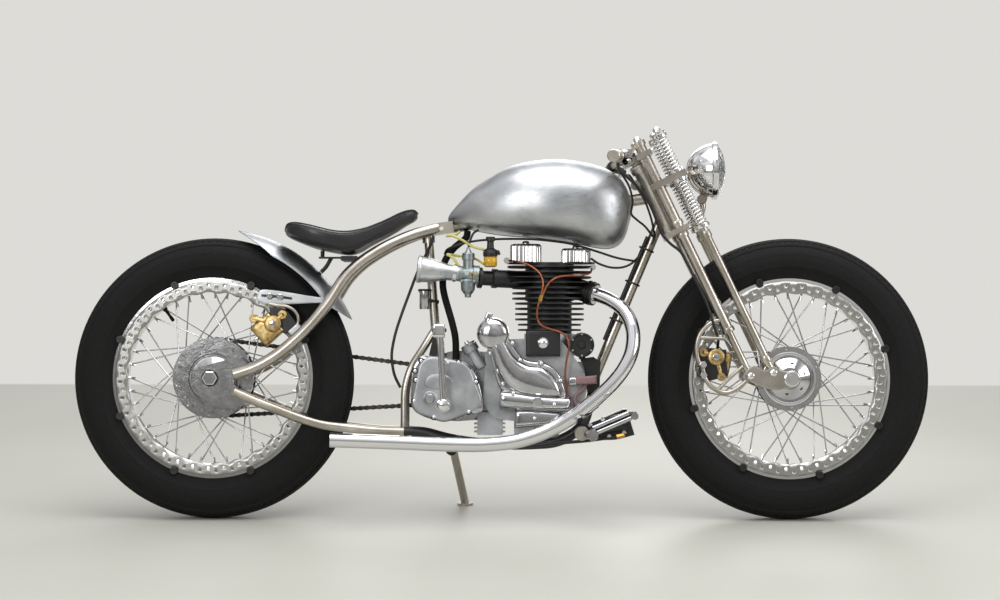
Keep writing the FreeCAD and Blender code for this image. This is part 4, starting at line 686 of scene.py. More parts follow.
lever = [(-136, 0), (-136, 9), (-98, 9), (-97, 17), (-92, 17), (-92, 0)]
piece("kick_shaft", turned(lever, (570, 0, 281), leftward, 24), chrome)
shank = np.array([(570, -129, 281), (569, -129.5, 300), (566, -131, 360), (563, -132, 420), (560, -133, 452)])
grid = pipe(shank, 30, np.interp(np.linspace(0, 1, 30), [0, 0.1, 1], [9.5, 7.6, 8.6]), 16)
piece("kick_lever_arm", grid, chrome, "kick_lever")
piece("kick_lever_boss",
      turned([(-10, 0), (-10, 14), (8, 14), (10, 12), (10, 0)], (570, -129, 281), rightward, 28), chrome)
jaw = casting([(543, 444), (573, 444)], [(543, 477), (573, 477)], -118, -149, 9, 9, 16, 17)
piece("kick_lever_jaw", jaw, chrome)
piece("kick_lever_pin",
      turned([(0, 0), (0, 5), (34, 5), (36, 3), (36, 0)], (541, -133, 462), (1, 0, 0), 16), black)

# Cylinder.
# The tappet chest and the head are painted black. The two rocker covers are pressed steel boxes with
# upright flutes, plated with chrome and held down by a domed nut each.
piece("tappet_chest", casting([(769, 399), (853, 399)], [(769, 462), (853, 462)], face, -88, 12, 12),
      finned, "tappet_cover")
nut = [(0, 0), (0, 13), (1.5, 13), (2, 9.5), (7, 9), (9, 6), (10, 0)]
piece("tappet_nut", turned(nut, (811, -87.5, 432), rightward, 24), chrome)


def fluted_box(middle, half_long, half_wide, low, high, flutes=26):
    """An upright box whose outline is a superellipse of power 5, pressed into flutes 1.4 mm deep;
    its shoulders round over into a flat top in a quarter circle of 8 mm."""
    angle = np.linspace(0, 2 * np.pi, flutes * 8, endpoint=False)
    c, s = np.cos(angle), np.sin(angle)
    reach = (np.abs(c) ** 5 + np.abs(s) ** 5) ** -0.2
    fold = 1 - 0.035 * (0.5 - 0.5 * np.cos(angle * flutes)) ** 3
    outline = np.stack([c * reach * half_long * fold, s * reach * half_wide * fold], -1)
    turn = np.linspace(0, np.pi / 2, 7)
    inset = np.concatenate([[0, 0, 0], 8 * (1 - np.cos(turn)), [8 + half_wide / 2]])
    level = np.concatenate([[low, low, high - 8], high - 8 + 8 * np.sin(turn), [high]])
    scale = 1 - inset[:, None, None] / half_wide
    rows = outline[None] * scale
    grid = np.concatenate([rows, np.broadcast_to(level[:, None, None], rows.shape[:2] + (1,))], -1)
    ends = [np.broadcast_to([0, 0, z], grid[:1].shape) for z in (low, high)]
    return np.concatenate([ends[0], grid, ends[1]]) + np.array([middle[0], middle[1], 0])


upward = (0, 0, 1)
for name, middle, long, high in (("rear", 768.5, 39, 676), ("front", 892, 36.5, 665)):
    piece("rocker_cover_" + name, leaned(fluted_box((middle, 0), long, 41.5, 630.4, high)), chrome,
          *(["rocker_covers"] if name == "rear" else []), sharp=30)
    stud = [(0, 0), (0, 9), (5, 9), (8, 6.5), (9, 0)]
    piece("rocker_cover_nut_" + name, turned(stud, (middle, 0, high - 0.5), upward, 24), chrome)
    flange = [(-4, 0), (-4, 47), (0, 47), (0.6, 46), (0.6, 0)]
    piece("rocker_cover_flange_" + name,
          leaned(spun(flange, (middle, 0, 631), upward, 48) * np.array([1, 0.97, 1])), finned)
dressed(polished, "primary_chaincase")
cylinder_x = 827.0
# The upper head fins are rounded rectangles that reach past the round ones below the ports.
angle = np.linspace(0, 2 * np.pi, 72, endpoint=False)
c, s = np.cos(angle), np.sin(angle)
reach = (np.abs(c) ** 6 + np.abs(s) ** 6) ** (-1 / 6)
outline = np.stack([c * reach, s * reach, c * 0], -1)
fins = []
for level, half_long in ((578.7, 97), (591.7, 103), (604.7, 104), (617.7, 104)):
    for scale, rise in ((0.0, 0.0), (0.965, 0.0), (1.0, 0.9), (1.0, 2.6), (0.965, 3.5), (0.0, 3.5)):
        fins.append(outline * (half_long * scale, 86 * scale, 0) + (cylinder_x, 0, level + rise))
fins = np.reshape(fins, (4, 6, 72, 3))
piece("head_fins", leaned(fins), finned)

# Left side of the engine.
# The primary chain runs in a polished two-part case. Its outer half is held by twelve screws, and an
# oval lid lets the clutch be set.
case_screws = []
for x, z, radius, angles in ((598, 325, 78, (100, 140, 180, 220, 260)),
                             (826, 330, 66, (80, 40, 0, -40, -80))):
    case_screws += [(x + radius * math.cos(math.radians(a)), 144.6, z + radius * math.sin(math.radians(a)))
                    for a in angles]
case_screws += [(700, 144.6, 401), (705, 144.6, 254)]
piece("chaincase_screws", many(screw, case_screws, leftward, 16), chrome)
lid = casting([(560, 325), (575, 298), (598, 290), (621, 298), (636, 325)],
              [(560, 325), (575, 352), (598, 360), (621, 352), (636, 325)], 144, 150, 5, 5, 30, 21)
piece("chaincase_lid", lid, polished)
dome = [(0, 0), (0, 46), (2, 47), (5, 45), (7, 38), (8, 20), (8, 0)]
piece("chaincase_dome", turned(dome, (826, 144.5, 330), leftward, 56), polished)

# Final drive.
# A roller chain of 5/8 inch pitch runs from the gearbox to the rear wheel on the left side. Its side
# plates have two round ends and a waist, and it is oiled black.
chained, *parts = begun("oiled_chain", "chain_steel", "#3a3733", 1.0, 0.45)
# Oil gathers dust in patches about 6 mm wide.
patterned(*parts, 170.0, 3.0, tones=("#1f1d1b", "#5d5853"), stops=(0.35, 0.7))

chain_pitch, chain_line = 15.875, 71
big, small = chain_pitch / (2 * math.sin(math.pi / 38)), chain_pitch / (2 * math.sin(math.pi / 17))
chain_rear = np.array([0.0, 345.0])
chain_front = np.array([562.0, 325.0])
span = chain_front - chain_rear
tilt = math.atan2(span[1], span[0])
lean_in = math.acos((big - small) / np.hypot(*span))
upper_arc = np.linspace(tilt + lean_in, tilt + 2 * np.pi - lean_in, 200)
lower_arc = np.linspace(tilt - lean_in, tilt + lean_in, 100)
loop = np.concatenate([chain_rear + big * np.stack([np.cos(upper_arc), np.sin(upper_arc)], -1),
                       chain_front + small * np.stack([np.cos(lower_arc), np.sin(lower_arc)], -1)])
loop = np.concatenate([loop, loop[:1]])
run = np.concatenate([[0], np.cumsum(np.linalg.norm(np.diff(loop, axis=0), axis=1))])
link_count = 2 * round(run[-1] / chain_pitch / 2)
pins = np.stack([np.interp(np.arange(link_count) / link_count * run[-1], run, loop[:, k]) for k in (0, 1)],
                -1)


def chain_plates(offset, first):
    """Side plates from pin to pin: an outline of 16 points with round ends of 6 mm and a waist of
    4.4 mm, as a ring with its two faces drawn in to their middles."""
    here = pins[first::2]
    there = np.roll(pins, -1, 0)[first::2]
    way = (there - here) / np.linalg.norm(there - here, axis=1, keepdims=True)
    up = np.stack([-way[:, 1], way[:, 0]], -1)
    along = np.array([0, 4.5, 7.9, 11.4, 15.9, 20, 21.8, 20, 15.9, 11.4, 7.9, 4.5, 0, -4, -5.9, -4])
    side = np.array([6, 4.8, 4.2, 4.8, 6, 4, 0, -4, -6, -4.8, -4.2, -4.8, -6, -4, 0, 4])
    flat = here[:, None] + way[:, None] * along[None, :, None] + up[:, None] * side[None, :, None]
    middle = np.broadcast_to(((here + there) / 2)[:, None], flat.shape)
    rows = []
    for spots, y in ((middle, offset - 0.8), (flat, offset - 0.8), (flat, offset + 0.8),
                     (middle, offset + 0.8)):
        rows.append(np.stack([spots[..., 0], chain_line + y + 0 * spots[..., 0], spots[..., 1]], -1))
    return np.stack(rows, 1)


plates = np.concatenate([chain_plates(y, first) for y, first in ((-7, 0), (7, 0), (-4.6, 1), (4.6, 1))])
piece("drive_chain_plates", leaned(plates), chained, "drive_chain", sharp=20)
roller = [(-8, 0), (-8, 2.4), (-3.4, 2.4), (-3.4, 5), (3.4, 5), (3.4, 2.4), (8, 2.4), (8, 0)]
starts = np.stack([pins[:, 0], chain_line + 0 * pins[:, 0], pins[:, 1]], -1)
piece("drive_chain_rollers", many(roller, starts, leftward, 8), chained, sharp=35)
dressed(ground, "rear_sprocket")

# Fuel system.
# A die-cast carburettor hangs on a black inlet stub, with a spun aluminium trumpet behind it. Fuel
# comes from a black tap through a filter with an amber bowl, in clear yellow hose.
die_cast, *parts = begun("die_cast_zinc", "brushed_aluminium", "#8d9698", 1.0, 0.46)
# The casting's skin is dull, with grey-green clouds 5 to 10 mm wide.
patterned(*parts, 130.0, 4.0, tones=("#6f7879", "#a9b1b2"), bump=(0.3, 0.0008))
amber, *parts = begun("amber_plastic", "amber_glass", "#e0a81c", 0.0, 0.12,
                      **{"Transmission Weight": 0.35, "IOR": 1.46})
# The fuel behind the plastic makes its colour uneven over about 10 mm.
patterned(*parts, 90.0, tones=("#d08f10", "#efc542"))
hose_clear, *parts = begun("clear_fuel_hose", "amber_glass", "#c9c465", 0.0, 0.25,
                           **{"Transmission Weight": 0.3, "IOR": 1.4})
# Fuel has yellowed the hose unevenly along its length.
patterned(*parts, 60.0, tones=("#b7b04c", "#d8d48c"))

inlet_way = (-0.967, -0.25, 0.04)
stub = [(-3, 0), (-3, 24), (8, 24), (10, 18.5), (34, 18.5), (36, 26), (44, 26), (45, 24), (45, 0)]
piece("inlet_stub", turned(stub, (694, -44, 590), inlet_way, 40), finned)
body = [(0, 0), (0, 19), (8, 20), (12, 17), (20, 16), (28, 21), (36, 21), (38, 24), (52, 24), (53, 20),
        (53, 0)]
piece("carburettor_body", turned(body, (602, -58, 601.9), (0.99, 0.02, -0.09), 40), die_cast, "carburettor")
tower = [(0, 0), (0, 15), (6, 15), (8, 13), (34, 13), (35, 15.5), (50, 15.5), (52, 14), (53, 9), (60, 5),
         (66, 4), (66, 0)]
piece("carburettor_slide_tower", turned(tower, (628, -58, 600), upward, 24), die_cast, sharp=20)
bowl = [(0, 0), (0, 19), (-4, 20), (-6, 20), (-7, 18), (-26, 17), (-33, 13), (-38, 8), (-44, 8), (-45, 6),
        (-45, 0)]
piece("carburettor_bowl", turned(bowl, (627, -58, 588), upward, 32), die_cast)
brass, *parts = begun("brass", "gold_metal", "#c79a45", 1.0, 0.3)
# Worn brass is browner in some patches and lighter in others, about 5 mm wide.
patterned(*parts, 200.0, 3.0, tones=("#96702c", "#d9b060"))
bolts("carburettor_jets", [(634, -77, 600), (648, -82, 596)], rightward, 5.0, brass)
bolts("carburettor_screws", [(612, -75, 583), (642, -75, 583), (628, -72, 548)], rightward, 3.6, chrome)

trumpet = [(96, 0), (96, 19), (70, 20), (30, 29.5), (8, 31.5), (4, 34), (-2, 34), (-4, 31.5), (-1, 29),
           (24, 27), (70, 17), (90, 16), (90, 0)]
piece("intake_trumpet_spun", turned(trumpet, (507, -58, 612.6), (0.993, 0, -0.112), 56), brushed,
      "intake_trumpet", sharp=30)
clip = [(0, 20), (0, 22.4), (8, 22.4), (8, 20)]
piece("trumpet_clip", turned(clip, (591, -58, 603.1), (0.993, 0, -0.112), 32), chrome, along=True)

glass = [(0, 0), (0, 15), (2, 16.4), (22, 16.4), (24, 15), (24, 0)]
piece("fuel_filter_bowl", turned(glass, (682, -66, 619), upward, 32), amber, "fuel_filter")
top = [(-26, 0), (-26, 12), (-24, 13.5), (-24, 4), (-0.4, 4), (-0.4, 17.5), (8, 18.5), (16, 16), (20, 9),
       (36, 8), (38, 11), (48, 11), (48, 0)]
piece("fuel_filter_head", turned(top, (682, -66, 643.4), upward, 24), black, sharp=20)
bolts("fuel_tap", [(700, -66, 652)], (0.9, -0.2, 0.35), 7.0, black)
fuel_lines = {"tank": [(606, -34, 706), (596, -38, 698), (575, -46, 694), (590, -52, 694), (612, -56, 684),
                       (638, -60, 668), (666, -65, 660)],
              "carburettor": [(666, -66, 625), (640, -40, 640), (600, -38, 646), (576, -44, 649),
                              (590, -52, 640), (604, -57, 622), (616, -58, 616)]}
for name, line in fuel_lines.items():
    piece("fuel_hose_" + name, pipe(line, 50, 3.3, 10), hose_clear)

# Oil and breather pipes.
# Copper pipe of about 5 mm feeds the rockers: two branches meet at a union beside the barrel, and one
# pipe goes down to the pump. A thick black hose comes down from the tank to the gearbox.
copper, *parts = begun("copper_pipe", "copper_pipe", "#9c5a3c", 1.0, 0.34)
# Heat has browned the copper in bands about 15 mm long.
patterned(*parts, 70.0, 3.0, tones=("#6c3a2a", "#b5704f"))
pipes = {"rear": [(724, -46, 634), (734, -58, 633), (748, -76, 630), (775, -90, 622), (800, -98, 604),
                  (810, -102, 583), (809, -104, 560), (804, -104, 538)],
         "front": [(931, -46, 618), (926, -62, 604), (905, -80, 597), (880, -92, 596), (852, -98, 593),
                   (832, -101, 584), (819, -103, 568), (811, -104, 550), (805, -104, 536)],
         "pump": [(804, -104, 538), (797, -103, 514), (797, -101, 492), (805, -98, 476), (826, -94, 466),
                  (850, -92, 459), (868, -92, 446), (874, -91, 420), (868, -90, 388), (865, -86, 352),
                  (869, -82, 326), (872, -78, 302)]}
for name, line in pipes.items():
    piece("oil_pipe_" + name, pipe(line, 70, 2.6, 10, side=(0.3, 1, 0)), copper,
          *(["hoses"] if name == "pump" else []))
union = [(0, 0), (0, 5), (16, 5), (16, 0)]
piece("oil_pipe_union", turned(union, (807, -104, 548), (-0.25, 0, -1), 6), brass)
banjo = [(0, 0), (0, 8), (3, 8), (3, 6), (8, 6), (8, 0)]
piece("oil_pipe_bolts", many(banjo, [(722, -44, 634), (933, -44, 618)], rightward, 12), chrome)
breather = [(625, -13, 708.7), (620, -14, 690), (590, -17, 664), (568, -18, 630), (564, -18, 585),
            (568, -22, 550), (588, -32, 480), (596, -32, 440), (597, -32, 391.3)]
piece("breather_hose", pipe(breather, 60, 8.5, 14), rubber, slot="black_paint")

# Exhaust.
# One chrome pipe sweeps down from the head and runs back under the frame. It slips over its header
# with a short sleeve, and a finned ring holds it at the port.
dressed(chrome, "exhaust_header", "exhaust_pipe")
port = np.array([928, -25, 555.0])
port_way = np.array([0.86, -0.43, -0.28])
finned_ring = [(-8, 0), (-8, 30), (-4, 30), (-4, 27), (0, 27), (0, 30), (4, 30), (4, 27), (8, 27), (8, 29),
               (12, 29), (12, 0)]
piece("exhaust_port_ring", turned(finned_ring, port, port_way, 40), finned)
sleeve = [(-20, 17.6), (-20, 19.4), (20, 19.4), (20, 17.6)]
piece("exhaust_sleeve", turned(sleeve, (918, -131, 278), (0.78, 0.04, 0.62), 40), chrome, along=True)

# Springer fork.
# Rigid rear legs carry two yokes, and the sprung front links slide through them on long springs and
# pull on banana-shaped rockers at the axle. Everything is plated in nickel or chrome.
rake_sine, rake_cosine = 0.432, 0.9018
fork_foot_x, fork_foot_z = 1323.9, 301.4
fork_up = (-rake_sine, 0.0, rake_cosine)
fork_ahead = (rake_cosine, 0.0, rake_sine)
# The legs and the links stand this far ahead of the steering axis and out from its middle.
leg_ahead, link_ahead = 14, 67
leg_out = 85


def fork(up, ahead, y=0.0):
    """A place given by how far it is up the steering axis from its foot, and ahead of it."""
    up, ahead, y = np.broadcast_arrays(np.asarray(up, float), ahead, y)
    x = fork_foot_x - rake_sine * up + rake_cosine * ahead
    return np.stack([x, y, fork_foot_z + rake_cosine * up + rake_sine * ahead], -1)


def coil(low, high, turns, y):
    """A spring of 5 mm wire about the link: its height grows evenly with the angle but for half
    a flat turn at each end."""
    reach, wire_room = 14.6, 5.2
    t = np.linspace(0, 1, int(turns * 14) + 1)
    angle = 2 * np.pi * turns * t
    flat = 0.5 / turns
    height = np.interp(t, [0, flat, 1 - flat, 1], [0, 0.35 / turns, 1 - 0.35 / turns, 1])
    up = low + wire_room / 2 + (high - low - wire_room) * height
    line = fork(up, link_ahead + reach * np.cos(angle), y + reach * np.sin(angle))
    return carried(leaned(line), 0.0025, steps=8)


for side, name in sides:
    for part, low, high, turns in (("lower", 431.5, 557.6, 14), ("upper", 574.4, 672.6, 11)):
        piece("fork_spring_%s_%s" % (part, name), coil(low, high, turns, side * leg_out), chrome,
              *(["fork_springs"] if (side, part) == (-1, "lower") else []), body="fork", sharp=60)

dome_nut = [(0, 0), (0, 10), (6, 10), (9, 8.5), (12, 6), (14, 2.5), (14.4, 0)]
both_legs = (-leg_out, leg_out)
tops = [fork(682, leg_ahead, y) for y in both_legs] + [fork(683, link_ahead, y) for y in both_legs]
piece("fork_top_nuts", many(dome_nut, tops, fork_up, 12), chrome, body="fork", sharp=30)
seat_cup = [(0, 5.6), (0, 18.5), (3, 19), (9, 19), (10, 17.8), (10, 5.6)]
spots = [fork(up, link_ahead, y) for y in both_legs for up in (424.5, 550.5, 573, 667)]
piece("fork_spring_cups", many(seat_cup, spots, fork_up, 28), chrome, body="fork", sharp=35, along=True)
collar = [(0, 13.2), (0, 15.4), (2, 16.2), (10, 16.2), (12, 15.4), (12, 13.2)]
spots = [fork(up, leg_ahead, y) for y in both_legs for up in (167, 425, 456)]
piece("fork_leg_collars", many(collar, spots, fork_up, 32), nickel, body="fork", along=True)
collar = [(0, 9.6), (0, 12.0), (2, 12.8), (16, 12.8), (18, 12.0), (18, 9.6)]
spots = [fork(up, link_ahead, y) for y in both_legs for up in (60, 398)]
piece("fork_link_collars", many(collar, spots, fork_up, 32), nickel, body="fork", along=True)

for side, name in sides:
    lower = [(1301, 357), (1313, 340), (1340, 326), (1369, 319), (1400, 320), (1425, 327), (1437, 344)]
    upper = [(1301, 357), (1311, 371), (1326, 377), (1348, 366), (1372, 374), (1395, 364), (1424, 365),
             (1437, 344)]
    piece("fork_rocker_" + name, casting(lower, upper, side * 99.8, side * 108.4, 14, 14, 60, 13), nickel,
          *(["rockers"] if side < 0 else []), body="fork", sharp=40)
    pins = [fork(49, leg_ahead, side * 108), fork(32, link_ahead, side * 108)]
    head = [(-8, 0), (-8, 10), (-1, 10), (0, 9), (3, 9.4), (6, 8), (8, 4), (8.4, 0)]
    piece("fork_rocker_pins_" + name, many(head, pins, (0, side, 0), 20), chrome, body="fork", sharp=35)
    washer = [(0, 0), (0, 17), (2.2, 17), (3, 16), (3, 12.5), (9, 12.5), (10.5, 10), (10.5, 6), (7, 5.4),
              (7, 0)]
    piece("front_axle_nut_" + name, turned(washer, (1415, side * 108.4, 345), (0, side, 0), 6), chrome,
          body="fork", sharp=20)
    washer = [(0, 0), (0, 19), (2.2, 19), (2.8, 18), (2.8, 0)]
    piece("front_axle_washer_" + name, turned(washer, (1415, side * 107.6, 345), (0, side, 0), 40), chrome,
          body="fork")

# Head bearings, yoke bolts and the fork's stem nut.
cups = [(-2, 0), (-2, 27), (0, 28.5), (7, 28.5), (9, 26), (9, 0)]
piece("head_bearing_cups", many(cups, [fork(450.5, 0), fork(626, 0)], fork_up, 48), nickel, sharp=35)
stem_nut = [(0, 0), (0, 18), (12, 18), (14, 16), (14, 0)]
piece("fork_stem_nut", turned(stem_nut, fork(654, 0), fork_up, 6), chrome, body="fork", sharp=20)
pinch = [(0, 0), (0, 6), (5, 6), (6, 5), (6, 0)]
spots = [fork(up, 36 if up < 500 else 34, y) for up in (444, 647) for y in (-97, 97)]
piece("yoke_pinch_bolts", many(pinch, spots, fork_ahead, 12), chrome, body="fork", sharp=20)

# Handlebar.
# A short swept bar of satin tube is clamped behind the top yoke. Its grips are plain metal sleeves,
# and polished levers turn in black clamps beside them.
bar_right = [(975.6, -325, 871.6), (978.2, -300, 873.2), (984.9, -240, 877.2), (996, -160, 885),
             (1006.5, -100, 892), (1012, -60, 895), (1012.9, -30, 895.2)]
bar_left = [(x, -y, z) for x, y, z in bar_right[::-1]]
bar = pipe(bar_right + bar_left, 90, 11, 20, side=upward)
piece("handlebar_tube", bar, nickel, "handlebar", body="fork")


def sided(points, side):
    """Places given for the right side of the upright machine, mirrored for its left."""
    return leaned(np.asarray(points, float) * np.array([1, -side, 1]))


for side, name in sides:
    end = np.array([975.0, -330, 871.2])
    way = np.array([9.9, 90, 6.0]) / np.linalg.norm([9.9, 90, 6.0])
    sleeve = [(0, 0), (0, 13.5), (1.5, 15.5), (4, 15.5), (5, 14.2), (112, 14.2), (113, 15.5), (117, 15.5),
              (118, 14), (118, 0)]
    piece("grip_" + name, sided(spun(sleeve, end, way, 32), side), nickel, body="fork", sharp=30)
    clamp = [(0, 0), (0, 15), (1, 16), (19, 16), (20, 15), (20, 0)]
    piece("lever_clamp_" + name, sided(spun(clamp, end + way * 126, way, 28), side), black, body="fork",
          sharp=30)
    pivot_line = [(988, -200, 880), (1000, -201, 876), (1012, -205, 872), (1018, -212, 868)]
    arm = carried(sided(smooth_line(pivot_line, 12), side), np.linspace(0.0095, 0.0075, 12), side=upward,
                  steps=12)
    piece("lever_mount_" + name, arm, black, body="fork")
    blade = smooth_line([(1017, -208, 868), (1016, -232, 866), (1010, -262, 862), (1004, -292, 858),
                         (1003, -312, 857)], 26)
    flat = carried(sided(blade, side),
                   np.interp(np.linspace(0, 1, 26), [0, 0.15, 0.9, 1], [6.5, 5.2, 5.0, 7.0]) / 1000,
                   side=upward, steps=12)
    piece("lever_blade_" + name, flat, polished, body="fork")
bolts("bar_clamp_bolts", [fork(678, -24, y) for y in (-38, -26, 26, 38)], fork_up, 5.0, chrome, body="fork")
risers = [casting([(997, 872), (1030, 872)], [(997, 908), (1030, 908)], y, y + 20, 9, 9, 20, 17)
          for y in (-42, 22)]
piece("bar_clamps", np.stack(risers), polished, body="fork")

# Headlamp.
# A chromed bullet shell with its rim held by one screw, a silvered bowl behind domed clear glass,
# and one ball-headed stay to the lower yoke.
glass_lens, tree, shader, place = begun("lamp_glass", "lamp_glass", "#f2f5f6", 0.0, 0.03,
                                        **{"Transmission Weight": 0.92, "IOR": 1.47})
# Pressed glass has upright ribs about 16 mm apart.
ribs = add(tree, "ShaderNodeTexWave", {"Vector": place, "Scale": 20.0, "Distortion": 0.0},
           bands_direction="Y")
swell = add(tree, "ShaderNodeBump", {"Height": ribs.outputs["Fac"], "Strength": 0.35, "Distance": 0.001})
tree.links.new(swell.outputs[0], shader.inputs["Normal"])
lamp = (1232.7, 0.0, 857.5)
shell = [(-69, 0), (-68.5, 8), (-65, 22), (-58, 36), (-48, 48), (-36, 57), (-22, 64), (-12, 67), (-7, 68),
         (-6, 70), (-5, 71.6), (3, 72), (7, 70.5), (8.5, 67.5), (7, 65), (3, 64), (-4, 60), (-16, 52),
         (-28, 40), (-36, 26), (-39, 14), (-38, 7), (-26, 6), (-25, 0)]
piece("headlamp_shell", turned(shell, lamp, (1, 0, 0), 80), chrome, "headlight", body="fork", sharp=40)
dome = [(2, 0), (2, 64.6), (6.4, 65), (10, 62), (17, 52), (23, 38), (27, 20), (28.4, 0)]
piece("headlamp_glass", turned(dome, lamp, (1, 0, 0), 80), glass_lens, "headlight_lens", body="fork",
      sharp=60)
stay = [fork(444, 37), fork(446, 56), fork(455, 78), fork(470, 94), (1205, 0, 786), (1212, 0, 794)]
piece("headlamp_stay", pipe(stay, 40, 7.5, 16), nickel, body="fork")
knuckle = [(-17, 0), (-17, 10), (-15, 12), (15, 12), (17, 10), (17, 0)]
piece("headlamp_knuckle", turned(knuckle, (1203, 0, 787), leftward, 32), nickel, body="fork", sharp=35)
bolts("headlamp_rim_screw", [(1232, 0, 929)], upward, 3.5, chrome, body="fork")

# Brake calipers.
# Old calipers in gold anodising, each with a round cap and a polished disc over its piston. The front
# one hangs in a loop of nickel tube, and the rear one slides on a slotted plate.
gold, *parts = begun("gold_anodising", "gold_metal", "#c9ab6b", 1.0, 0.38)
# Age and brake dust brown the film in patches about 8 mm wide.
patterned(*parts, 120.0, 4.0, tones=("#8d7142", "#d3b983"), stops=(0.3, 0.65))


def turned_casting(centre, angle, long, wide, y_in, y_out, across=5.0, along=5.0):
    """A crowned block whose length lies at an angle in the x-z plane about a centre."""
    c, s = math.cos(math.radians(angle)), math.sin(math.radians(angle))
    ends = np.array([-long / 2, -long / 6, long / 6, long / 2])
    lower = [(centre[0] + e * c + wide / 2 * s, centre[1] + e * s - wide / 2 * c) for e in ends]
    upper = [(centre[0] + e * c - wide / 2 * s, centre[1] + e * s + wide / 2 * c) for e in ends]
    return casting(lower, upper, y_in, y_out, across, along, 24, 17)


cap = [(0, 0), (0, 21), (6, 21), (9, 19.5), (10, 18), (10, 9), (12, 8.5), (12.5, 7.5), (12.5, 0)]
inset = [(0, 0), (0, 8), (1.6, 8), (2, 7), (2, 0)]
for end, spot, mouth, ears in (("rear", (151, 478), 41.3, ((104, 491), (174, 500))),
                               ("front", (1233, 398), 168.0, ((1203, 409), (1246, 350)))):
    body = "frame" if end == "rear" else "fork"
    middle = np.array(rear_middle if end == "rear" else front_middle)
    out = np.array([math.cos(math.radians(mouth)), math.sin(math.radians(mouth))])
    root = middle[[0, 2]]
    outer_half = turned_casting(root + out * 181, mouth, 62, 62, -61.5, -80)
    inner_half = turned_casting(root + out * 178, mouth, 56, 60, -43, -31)
    bridge = turned_casting(root + out * 166, mouth, 34, 60, -32, -78)
    piece(end + "_caliper_halves", np.stack([outer_half, inner_half, bridge]), gold, end + "_caliper",
          body=body, sharp=45)
    piece(end + "_caliper_cap", turned(cap, (spot[0], -78, spot[1]), rightward, 48), gold, body=body,
          sharp=45)
    piece(end + "_caliper_cap_disc", turned(inset, (spot[0], -90, spot[1]), rightward, 32), polished,
          body=body)
    ear = [(0, 4), (0, 10), (1, 11), (11, 11), (12, 10), (12, 4)]
    piece(end + "_caliper_ears", many(ear, [(x, -68, z) for x, z in ears], rightward, 28), gold, body=body,
          sharp=35, along=True)
    near = (spot[0], -76, spot[1])
    arms = np.stack([pipe([near, ((spot[0] + x) / 2, -75, (spot[1] + z) / 2), (x, -74, z)], 12, 6.8)
                     for x, z in ears])
    piece(end + "_caliper_arms", arms, gold, body=body)
    pads = np.stack([turned_casting(root + out * 199, mouth, 34, 52, -54.2, -61),
                     turned_casting(root + out * 199, mouth, 34, 52, -46.0, -42.6)])
    piece(end + "_brake_pads", pads, black, body=body, sharp=45)
    nipple = [(0, 0), (0, 4.5), (4, 4.5), (5, 2.6), (14, 2.6), (15, 1.6), (15, 0)]
    tip = root + out * 150
    piece(end + "_caliper_bleeder", turned(nipple, (tip[0], -70, tip[1]), (-out[0], 0, -out[1]), 12),
          chrome, body=body, sharp=45)

# Stays that hold the calipers.
# The rear one is an alloy plate welded to the rail, with a black slab on it as painted shade for its slot,
# and a bent rod to a lug below. The front one is a loop of 11 mm nickel tube with a bar across and a brace to
# the leg.
plate_low = [(113, 536), (130, 526), (160, 525), (200, 526), (240, 528), (277, 529)]
plate_high = [(115, 550), (124, 561), (160, 559), (199, 553), (240, 546), (277, 541)]
piece("rear_stay_plate", casting(plate_low, plate_high, -74, -80, 14, 20, 40, 13), brushed)
# The slot is a black slab on the plate: painted shade, in place of the dark of an open slot.
slot = casting([(122, 543.5), (160, 540.5), (198, 536)], [(122, 550.5), (160, 548), (198, 543)], -78, -80.7,
               4, 12, 24, 9)
piece("rear_stay_painted_slot_shade", slot, black, sharp=45)
bolts("rear_stay_bolts", [(143, -80, 545), (169, -80, 543)], rightward, 8.5, chrome)
rod_line = [(140, -77, 527), (160, -77, 523), (182, -77, 521), (198, -77, 514), (209, -76, 502),
            (213, -75, 487), (209, -74, 472)]
piece("rear_stay_rod", pipe(rod_line, 40, 4.2), nickel)
piece("rear_stay_lug", turned_casting((204, 464), 42, 34, 15, -66, -80, 10, 10), brushed, sharp=45)
hanger = casting([(150, 470), (176, 455), (206, 452)], [(140, 520), (180, 512), (212, 476)], -70, -74, 10,
                 10, 24, 13)
piece("rear_caliper_hanger", hanger, black, sharp=45)

tubes = {"loop": [(1239, -90, 487), (1226, -93, 484), (1210, -95, 474), (1194, -95, 455), (1186, -95, 432),
                  (1185, -95, 408), (1189, -95, 388), (1198, -95, 374), (1202, -95, 356), (1208, -95, 341),
                  (1219, -95, 327), (1234, -95, 317), (1252, -95, 311), (1272, -95, 315), (1292, -94, 328),
                  (1306, -92, 340)],
         "bar": [(1193, -95, 445), (1224, -94, 444), (1256, -92, 442)],
         "brace": [(1237, -95, 318), (1264, -95, 346), (1298, -92, 376)]}
for name, line in tubes.items():
    radius = 5.5 if name == "loop" else 4.5
    piece("front_stay_" + name, pipe(line, 70, radius, 14), nickel, body="fork", sharp=45)
bolts("front_stay_bolts", [(1200, -100, 379), (1201, -100, 353)], rightward, 9.0, chrome, body="fork")
hanger = casting([(1190, 350), (1215, 340), (1262, 352)], [(1190, 412), (1215, 420), (1258, 416)], -76, -80,
                 10, 10, 24, 13)
piece("front_caliper_hanger", hanger, black, body="fork", sharp=45)

